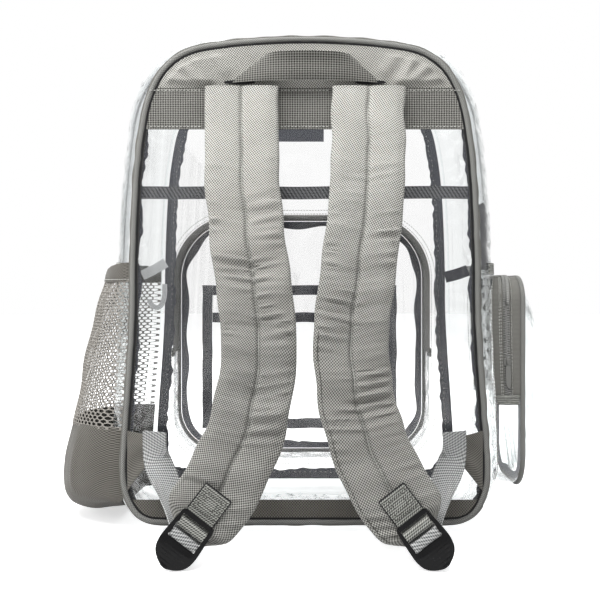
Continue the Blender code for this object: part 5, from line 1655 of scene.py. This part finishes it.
def side_foot(sideways, height):
    """The side pocket is sewn to the bulging side wall."""
    level = height + SIDE_BOTTOM
    share = (SIDE_MIDDLE + sideways - across_depth(0.0)) / (across_depth(1.0) - across_depth(0.0))
    row = rim_row(level)
    _, out, bulge = rim(row)
    stand = SEAM_STAND + bulge * section(share)
    return half_width(level) + stand * np.maximum(out[..., 0], 0.5) - PANEL_WIDTH / 2 + 2 * GAP


side_outline = rounded_outline(width=0.102, height=SIDE_TOP - SIDE_BOTTOM, top_radius=0.024,
                               bottom_radius=0.032, split=0.120 - SIDE_BOTTOM, spacing=0.0016)
side_sheet, side_away = zip_pocket("side_pocket", side_outline, side_place, side_foot, depth=0.043,
                                   dome=0.026, names=("tab_front", "tab_back"), seed=151)

# %% [markdown]
# ## Organiser in the front pocket
# A second sheet of film on the front panel, with dark tape along its edges and across its two pockets.

# %% Organiser
sheet_low, sheet_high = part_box("organiser_sheet")
across = np.linspace(sheet_low[0], sheet_high[0], 60)
up = np.linspace(sheet_low[2], sheet_high[2], 44)
flat = np.stack(np.meshgrid(across, up, indexing="ij"), axis=-1)
lift = np.abs(waves(flat[..., 0], flat[..., 1], 0.06, 161)) * 0.0005
piece("organiser_film", wall(in_panel(flat, sheet_low[1] + lift), in_panel(flat, sheet_low[1] + lift + FILM),
      flat), FILM_CLEAR, ["organiser_sheet"])

ORGANISER_TAPE = 0.011
ORGANISER_STEP = 0.031
tape_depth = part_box("organiser_binding")[0][1] + 0.0004


def organiser_strip(start, end, seed):
    """One dark tape between two points of the organiser, with edges that wander."""
    middle = even_path(np.array([start, end], dtype=float), 0.0025)
    run = lengths(middle)
    along = unit(middle[-1] - middle[0])
    beside = np.array([along[1], -along[0]])
    share = np.linspace(-0.5, 0.5, 8)
    wander = waves(run, 0.0, 0.04, seed, spread=0.2)[:, None] * 0.0004
    flat = middle[:, None] + beside * (share * ORGANISER_TAPE + wander)[..., None]
    uv = map_of(share * ORGANISER_TAPE, run)
    return wall(in_panel(flat, tape_depth + 0.0011), in_panel(flat, tape_depth), uv)


inset = ORGANISER_TAPE / 2
left, right = sheet_low[0] + inset, sheet_high[0] - inset
low, high = sheet_low[2] + inset, sheet_high[2] - inset
step = high - ORGANISER_STEP
tapes = [organiser_strip((left, sheet_low[2]), (left, sheet_high[2]), 171),
         organiser_strip((right, sheet_low[2]), (right, sheet_high[2]), 172)]
for index, height in enumerate((low, step, high)):
    tapes.append(organiser_strip((left + inset + GAP, height), (right - inset - GAP, height), 173 + index))
piece("organiser_tapes", joined(tapes), BINDING, ["organiser_binding"])

# %% [markdown]
# ## The net pocket
# The pocket on the left is a knitted net over a cloth base, with a folded hem. The net's holes stand in
# staggered rows, 4.9 mm apart across and 3.1 mm between rows, and its yarn is drawn as a thin sheet with
# a six-sided hole in each six-sided cell. The profile's rows give the height's share, then the share of the
# pocket's reach from the side wall.
# %% Pocket surface
MESH_TOP = 0.251
MESH_BOTTOM = 0.006
MESH_REACH = 0.071
MESH_WALL = 0.0012
HEM_HEIGHT = 0.018
BASE_TOP = 0.097
SIDE_SHARE = 0.110
MESH_TURN_ROW = 7
MESH_PROFILE = np.array([
    (1.000, 0.49),
    (0.927, 0.53),
    (0.812, 0.66),
    (0.608, 0.79),
    (0.371, 0.89),
    (0.220, 0.98),
    (0.118, 1.00),
    (0.057, 0.96),
    (0.020, 0.84),
    (0.000, 0.58),
    (0.006, 0.34),
    (0.012, 0.12),
])


def pocket_face(levels, shares, lift=0.0):
    """Grid on the net pocket. levels count its profile's rows from the mouth down."""
    row = curve_at(MESH_PROFILE, levels)
    height = MESH_BOTTOM + row[:, 0] * (MESH_TOP - MESH_BOTTOM)
    reach = row[:, 1] * MESH_REACH
    side = half_width(np.maximum(height, SEAM_HEIGHT + PANEL_HEIGHT * SIDE_SHARE))
    x = -(side[:, None] + SEAM_STAND + GAP + MESH_WALL + reach[:, None] * section(shares)[None, :] + lift)
    y = np.broadcast_to(across_depth(shares), x.shape)
    z = np.broadcast_to(np.maximum(height, 0.0005)[:, None], x.shape)
    return np.stack([x, y, z], axis=-1)


WALL_LEVELS = np.linspace(0, MESH_TURN_ROW, 400)
WALL_HEIGHTS = MESH_BOTTOM + curve_at(MESH_PROFILE, WALL_LEVELS)[:, 0] * (MESH_TOP - MESH_BOTTOM)


def level_at(height):
    """The profile's row at a height on the pocket's wall."""
    return np.interp(-np.asarray(height), -WALL_HEIGHTS, WALL_LEVELS)


# %% Hem
shares = np.linspace(0.0, 1.0, 70)
across_run = np.linspace(0, 0.23, len(shares))
hem_run = np.linspace(0, HEM_HEIGHT, 12)
hem_levels = level_at(np.linspace(MESH_TOP, MESH_TOP - HEM_HEIGHT, len(hem_run)))
puff = 0.0009 * np.sin(np.linspace(0, np.pi, len(hem_run)))[:, None]
hem_waves = waves(hem_run[:, None], across_run, 0.03, 181, heading=np.pi / 2, spread=0.3) * 0.0004
outer = pocket_face(hem_levels, shares, MESH_WALL / 2 + puff + hem_waves)
inner = pocket_face(hem_levels, shares, -MESH_WALL * 0.6 + hem_waves)
sag = 0.0075 * section(shares) ** 2 * np.linspace(1.0, 0.0, len(hem_run))[:, None]
for grid in (outer, inner):
    grid[..., 2] -= sag
piece("net_pocket_hem", wall(outer, inner, map_of(across_run, hem_run)), BASE_TWILL,
      ["mesh_pocket_hem"])
stitch_heights = MESH_TOP - HEM_HEIGHT + np.array([0.002, 0.0025])
sewn = pocket_face(level_at(stitch_heights), shares, MESH_WALL / 2 + 0.0008)[0]
facing = np.broadcast_to((-1.0, 0.0, 0.0), sewn.shape)
piece("net_pocket_hem_stitches", stitches(sewn, facing), THREAD, smooth=False)

# %% [markdown]
# ### The cloth base
# The base is one grid that comes down the wall, turns under and goes back to the side wall.

# %% Base
base_top = float(level_at(BASE_TOP))
base_levels = np.concatenate([np.linspace(base_top, MESH_TURN_ROW, 34)[:-1],
                              np.linspace(MESH_TURN_ROW, len(MESH_PROFILE) - 1, 30)])
tuck = np.clip((base_levels - MESH_TURN_ROW) / 2, 0.0, 1.0)[:, None]
drop = (base_levels - base_top)[:, None] * 0.02
fold = 0.0030 * np.exp(-((shares[None, :] - 0.15) / 0.022) ** 2) * np.sin(np.clip(drop / 0.07, 0, 1) * np.pi)
folds = waves(drop, across_run, 0.05, 191, heading=1.2, spread=0.6) * 0.0009 * (1 - tuck)
outer = pocket_face(base_levels, shares, fold + folds)
inner = pocket_face(base_levels, shares, fold + folds - MESH_WALL)
inner[..., 2] += tuck * MESH_WALL
low_share = np.clip((BASE_TOP - outer[..., 2]) / (BASE_TOP - MESH_BOTTOM), 0, 1) ** 1.5
to_seam = 1 - smooth_step(shares, 0.0, 0.42)[None, :]
for grid in (outer, inner):
    grid[..., 2] += 0.021 * low_share * to_seam
body = wall(outer, inner, map_of(across_run, lengths(outer[:, len(shares) // 2])))
base = piece("net_pocket_base", body, BASE_TWILL, ["mesh_pocket_base"])
sewn_sheet(base, body, outer)

# %% Net
HOLE_SPACING = 0.0049
ROW_SPACING = 0.0031
net_low, net_high = BASE_TOP - 0.003, MESH_TOP - HEM_HEIGHT + 0.003
net_width = 0.215
columns = int(net_width / HOLE_SPACING)
rows = int((net_high - net_low) / ROW_SPACING)
column, row = np.meshgrid(np.arange(columns), np.arange(rows), indexing="ij")
middle = np.stack([(column + 0.5 + 0.5 * (row % 2)) * HOLE_SPACING, (row + 0.5) * ROW_SPACING], axis=-1)
middle = middle.reshape(-1, 1, 2)
turn = np.radians(np.arange(6) * 60 + 30)
cell = np.stack([np.cos(turn) * HOLE_SPACING / np.sqrt(3), np.sin(turn) * ROW_SPACING * 2 / 3], axis=1)
net_scale = ((columns + 0.5) * HOLE_SPACING, rows * ROW_SPACING)
print("the net has", columns, "by", rows, "holes")


def on_net(flat, lift):
    """Flat net coordinates, in metres, put onto the pocket's surface."""
    share = np.clip(flat[..., 0] / net_scale[0], 0.0, 1.0).reshape(-1)
    height = net_high - np.clip(flat[..., 1] / net_scale[1], 0, 1).reshape(-1) * (net_high - net_low)
    row = curve_at(MESH_PROFILE, level_at(height))
    side = half_width(height)
    soft = waves(share * net_width, height, 0.05, 201, heading=0.8, spread=0.9) * 0.0011 * section(share)
    x = -(side + SEAM_STAND + GAP + MESH_WALL + row[:, 1] * MESH_REACH * section(share) + lift + soft)
    return np.stack([x, across_depth(share), height], axis=-1)


# Four rings make a cell: outline and hole outside, then hole and outline inside.
HOLE_SHARE = 0.78
shapes = [on_net(middle + cell * size, lift) for size, lift in (
    (1.0, 0.00010), (HOLE_SHARE, 0.00028), (HOLE_SHARE, -0.00028), (1.0, -0.00010))]
count = len(middle)
per = count * 6
ids = [np.arange(per).reshape(count, 6) + layer * per for layer in range(4)]
faces = []
for first, second in zip(ids, ids[1:]):
    ahead, beyond = np.roll(first, -1, axis=1), np.roll(second, -1, axis=1)
    faces.append(np.stack([first, ahead, beyond, second], axis=-1).reshape(-1, 4))
points = np.concatenate(shapes)
flat_uv = points[:, [1, 2]]
body = (points, faces, [flat_uv[group] for group in faces])
net = piece("net_pocket_net", body, YARN, ["mesh_net"])
share = np.linspace(0.0, 1.0, 40)
grid = np.stack(np.meshgrid(share * net_scale[0], share * net_scale[1], indexing="ij"), axis=-1)
sewn_sheet(net, body, on_net(grid, 0.0).reshape(40, 40, 3))

# %% [markdown]
# ## Zip sliders
# A slider is a small cast body on the coil, with a bridge and a pull. Each is a block with rounded ends.

# %% Sliders
def slider(name, place, out, along, node, pull_length=0.024, finish=ACETAL):
    """A slider's body, its bridge and a flat pull with a rounded end."""
    out = unit(out)
    along = unit(along - out * np.dot(along, out))
    across = np.cross(along, out)

    def block(reach, wide, low, high, count=9):
        """A rounded block from one reach to another along the zip, between two heights off it."""
        share = np.linspace(0, 1, count)
        swell = np.clip(1 - np.abs(2 * share - 1) ** 4, 0.02, 1) ** 0.5
        turn = np.linspace(0, 2 * np.pi, 12, endpoint=False)
        ring = np.stack([np.sign(np.cos(turn)) * np.abs(np.cos(turn)) ** 0.5,
                         np.sign(np.sin(turn)) * np.abs(np.sin(turn)) ** 0.5], axis=1)
        middle = place + along * (reach[0] + (reach[1] - reach[0]) * share)[:, None] + out * (low + high) / 2
        rings = (middle[:, None] + across * (ring[:, 0] * wide / 2)[None, :, None] * swell[:, None, None]
                 + out * (ring[:, 1] * (high - low) / 2)[None, :, None] * swell[:, None, None])
        return tube(rings)

    parts = [
        block((0.0, 0.010), 0.0078, 0.0000, 0.0012),
        block((0.0015, 0.0085), 0.0030, 0.0010, 0.0042),
        block((0.006, 0.006 + pull_length), 0.0052, 0.0022, 0.0034, count=17),
    ]
    return piece(name, joined(parts), finish, [node])


row = rim_row(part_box("main_zip_slider")[1][2])
ahead = rim_row(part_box("main_zip_slider")[0][2])
top = side_wall(np.array([row, ahead]), np.array([0.5]), 0.0016)[:, 0]
slider("main_slider", top[0], in_panel(rim([row])[1], 0.0)[0], top[1] - top[0], "main_zip_slider")
for prefix, sheet, outline, away in (("front_pocket", front_sheet, front_outline, front_away),
                                     ("side_pocket", side_sheet, side_outline, side_away)):
    zipped = np.arange(outline[2][0], outline[2][1] + 1)
    chain = sheet(zipped, np.array([0.5]), 0.0016)[:, 0]
    low, high = (np.array(corner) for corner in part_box(f"{prefix}_slider"))
    middle = (low + high) / 2
    near = np.argsort(np.linalg.norm(chain - middle, axis=1))[:9]
    top = near[np.argmax(chain[near, 2])]
    foot = near[np.argmin(chain[near, 2])]
    print(f"{prefix} slider at", chain[top].round(4), "in its solid's box", low.round(4), high.round(4))
    place = chain[top] + (0.0, 0.0, min(high[2] - chain[top][2], 0.012))
    slider(f"{prefix}_slider_body", place, away[zipped[top]], chain[foot] - chain[top], f"{prefix}_slider",
           finish=CAST if prefix == "side_pocket" else ACETAL)

# %% [markdown]
# ## Camera, floor and light
# The photograph looks straight at the back from 0.73 m, a little above half the bag's height. Its frame
# is centred slightly low and left of the lens, which the shift repeats. The floor and the background
# are white, so the film shows by its reflections of the darker room and the lamps.

# %% Camera
FRAME_PIXELS = 600
CAMERA_DISTANCE = 0.731
CAMERA_HEIGHT = 0.228
camera = bpy.data.cameras.new("camera")
camera.lens = 47.3
camera.sensor_width = 36.0
camera.shift_x = -5 / FRAME_PIXELS
camera.shift_y = -13 / FRAME_PIXELS
view = bpy.data.objects.new("camera", camera)
view.location = (0.0, BACK - CAMERA_DISTANCE, CAMERA_HEIGHT)
view.rotation_euler = (np.radians(90), 0.0, 0.0)
scene.collection.objects.link(view)
scene.camera = view
print("camera at", [round(value, 3) for value in view.location], "with a lens of", camera.lens, "mm")

# %% [markdown]
# ### Floor
# A wide disc just under the bag is as white as the background, and throws back a soft grey light.

# %% Floor
FLOOR_RADIUS = 6
floor_mesh = bpy.data.meshes.new("floor")
turn = np.linspace(0, 2 * np.pi, 96, endpoint=False)
floor_rim = [(FLOOR_RADIUS * np.cos(a), FLOOR_RADIUS * np.sin(a), -0.0004) for a in turn]
floor_mesh.from_pydata(floor_rim, [], [tuple(range(len(floor_rim)))])
floor = bpy.data.objects.new("floor", floor_mesh)
scene.collection.objects.link(floor)
# A white paper sweep: bright and even to the eye, with no gloss.
material, tree, output = empty_material("white sweep")
bright = add(tree, "ShaderNodeBsdfPrincipled", {
    "Base Color": colour("#F4F4F4"), "Roughness": 0.7, "Emission Color": (1, 1, 1, 1),
    "Emission Strength": 0.60})
plain = add(tree, "ShaderNodeBsdfDiffuse", {"Color": colour("#C4C4C4")})
bounce = add(tree, "ShaderNodeLightPath")
shader = add(tree, "ShaderNodeMixShader", {
    0: bounce.outputs["Is Diffuse Ray"], 1: bright.outputs[0], 2: plain.outputs[0]})
tree.links.new(shader.outputs[0], output.inputs["Surface"])
floor_mesh.materials.append(material)

# %% [markdown]
# ### Lamps
# Large soft boxes give faint shadows. Mirror rays miss them and see the plain room instead.


# %% Lamps
def lamp(name, place, aim, size, power):
    """A rectangular soft box that faces a point."""
    light = bpy.data.lights.new(name, "AREA")
    light.shape = "RECTANGLE"
    light.size, light.size_y = size
    light.energy = power
    made = bpy.data.objects.new(name, light)
    made.location = place
    made.visible_glossy = False
    facing = np.array(place) - np.array(aim)
    flat = np.hypot(facing[0], facing[1])
    made.rotation_euler = (np.arctan2(flat, facing[2]), 0.0, np.arctan2(facing[0], -facing[1]))
    scene.collection.objects.link(made)
    print("lamp", name, "of", power, "W")


lamp("over the front", (-0.25, -0.75, 1.35), (0.0, -0.05, 0.20), (1.1, 0.6), 24)
lamp("left", (-1.5, -0.7, 0.8), (0.0, 0.0, 0.22), (0.7, 1.0), 10)
lamp("above", (0.0, 0.4, 1.9), (0.0, 0.0, 0.0), (1.6, 1.6), 18)
lamp("rear", (0.0, 1.8, 1.2), (0.0, 0.0, 0.25), (2.2, 1.2), 10)

# %% [markdown]
# ### Background
# The picture's background is white, but the film mirrors a room that is darker at its sides, which draws
# the grey bands at the edges of the bag.

# %% Background
world = bpy.data.worlds.new("studio")
world.use_nodes = True
world.node_tree.nodes.clear()
tree = world.node_tree
seen = add(tree, "ShaderNodeBackground", {"Color": (1, 1, 1, 1), "Strength": 1.0})
room = add(tree, "ShaderNodeBackground", {"Color": colour("#FBFCFD"), "Strength": 0.42})
heading = add(tree, "ShaderNodeSeparateXYZ", {0: add(tree, "ShaderNodeTexCoord").outputs["Generated"]})
sideways = add(tree, "ShaderNodeMath", {0: heading.outputs["X"]}, operation="ABSOLUTE")
walls = add(tree, "ShaderNodeMapRange", {0: sideways.outputs[0], 1: 0.5, 2: 0.85, 3: 1.0, 4: 0.45})
above = add(tree, "ShaderNodeMapRange", {0: heading.outputs["Z"], 1: 0.1, 2: 0.8, 3: 1.0, 4: 1.7})
level = add(tree, "ShaderNodeMath", {0: walls.outputs[0], 1: above.outputs[0]}, operation="MULTIPLY")
mirrored = add(tree, "ShaderNodeBackground", {"Color": (1, 1, 1, 1), "Strength": level.outputs[0]})
path = add(tree, "ShaderNodeLightPath")
around = add(tree, "ShaderNodeMixShader", {
    0: path.outputs["Is Glossy Ray"], 1: room.outputs[0], 2: mirrored.outputs[0]})
both = add(tree, "ShaderNodeMixShader", {
    0: path.outputs["Is Camera Ray"], 1: around.outputs[0], 2: seen.outputs[0]})
output = add(tree, "ShaderNodeOutputWorld", {"Surface": both.outputs[0]})
scene.world = world

# %% Light paths
# A ray crosses many layers of film, so it needs more bounces than the usual eight.
scene.view_settings.view_transform = "Standard"
scene.cycles.transparent_max_bounces = 64
scene.cycles.glossy_bounces = 10
scene.cycles.caustics_reflective = False
scene.cycles.caustics_refractive = False
scene.cycles.max_bounces = 16
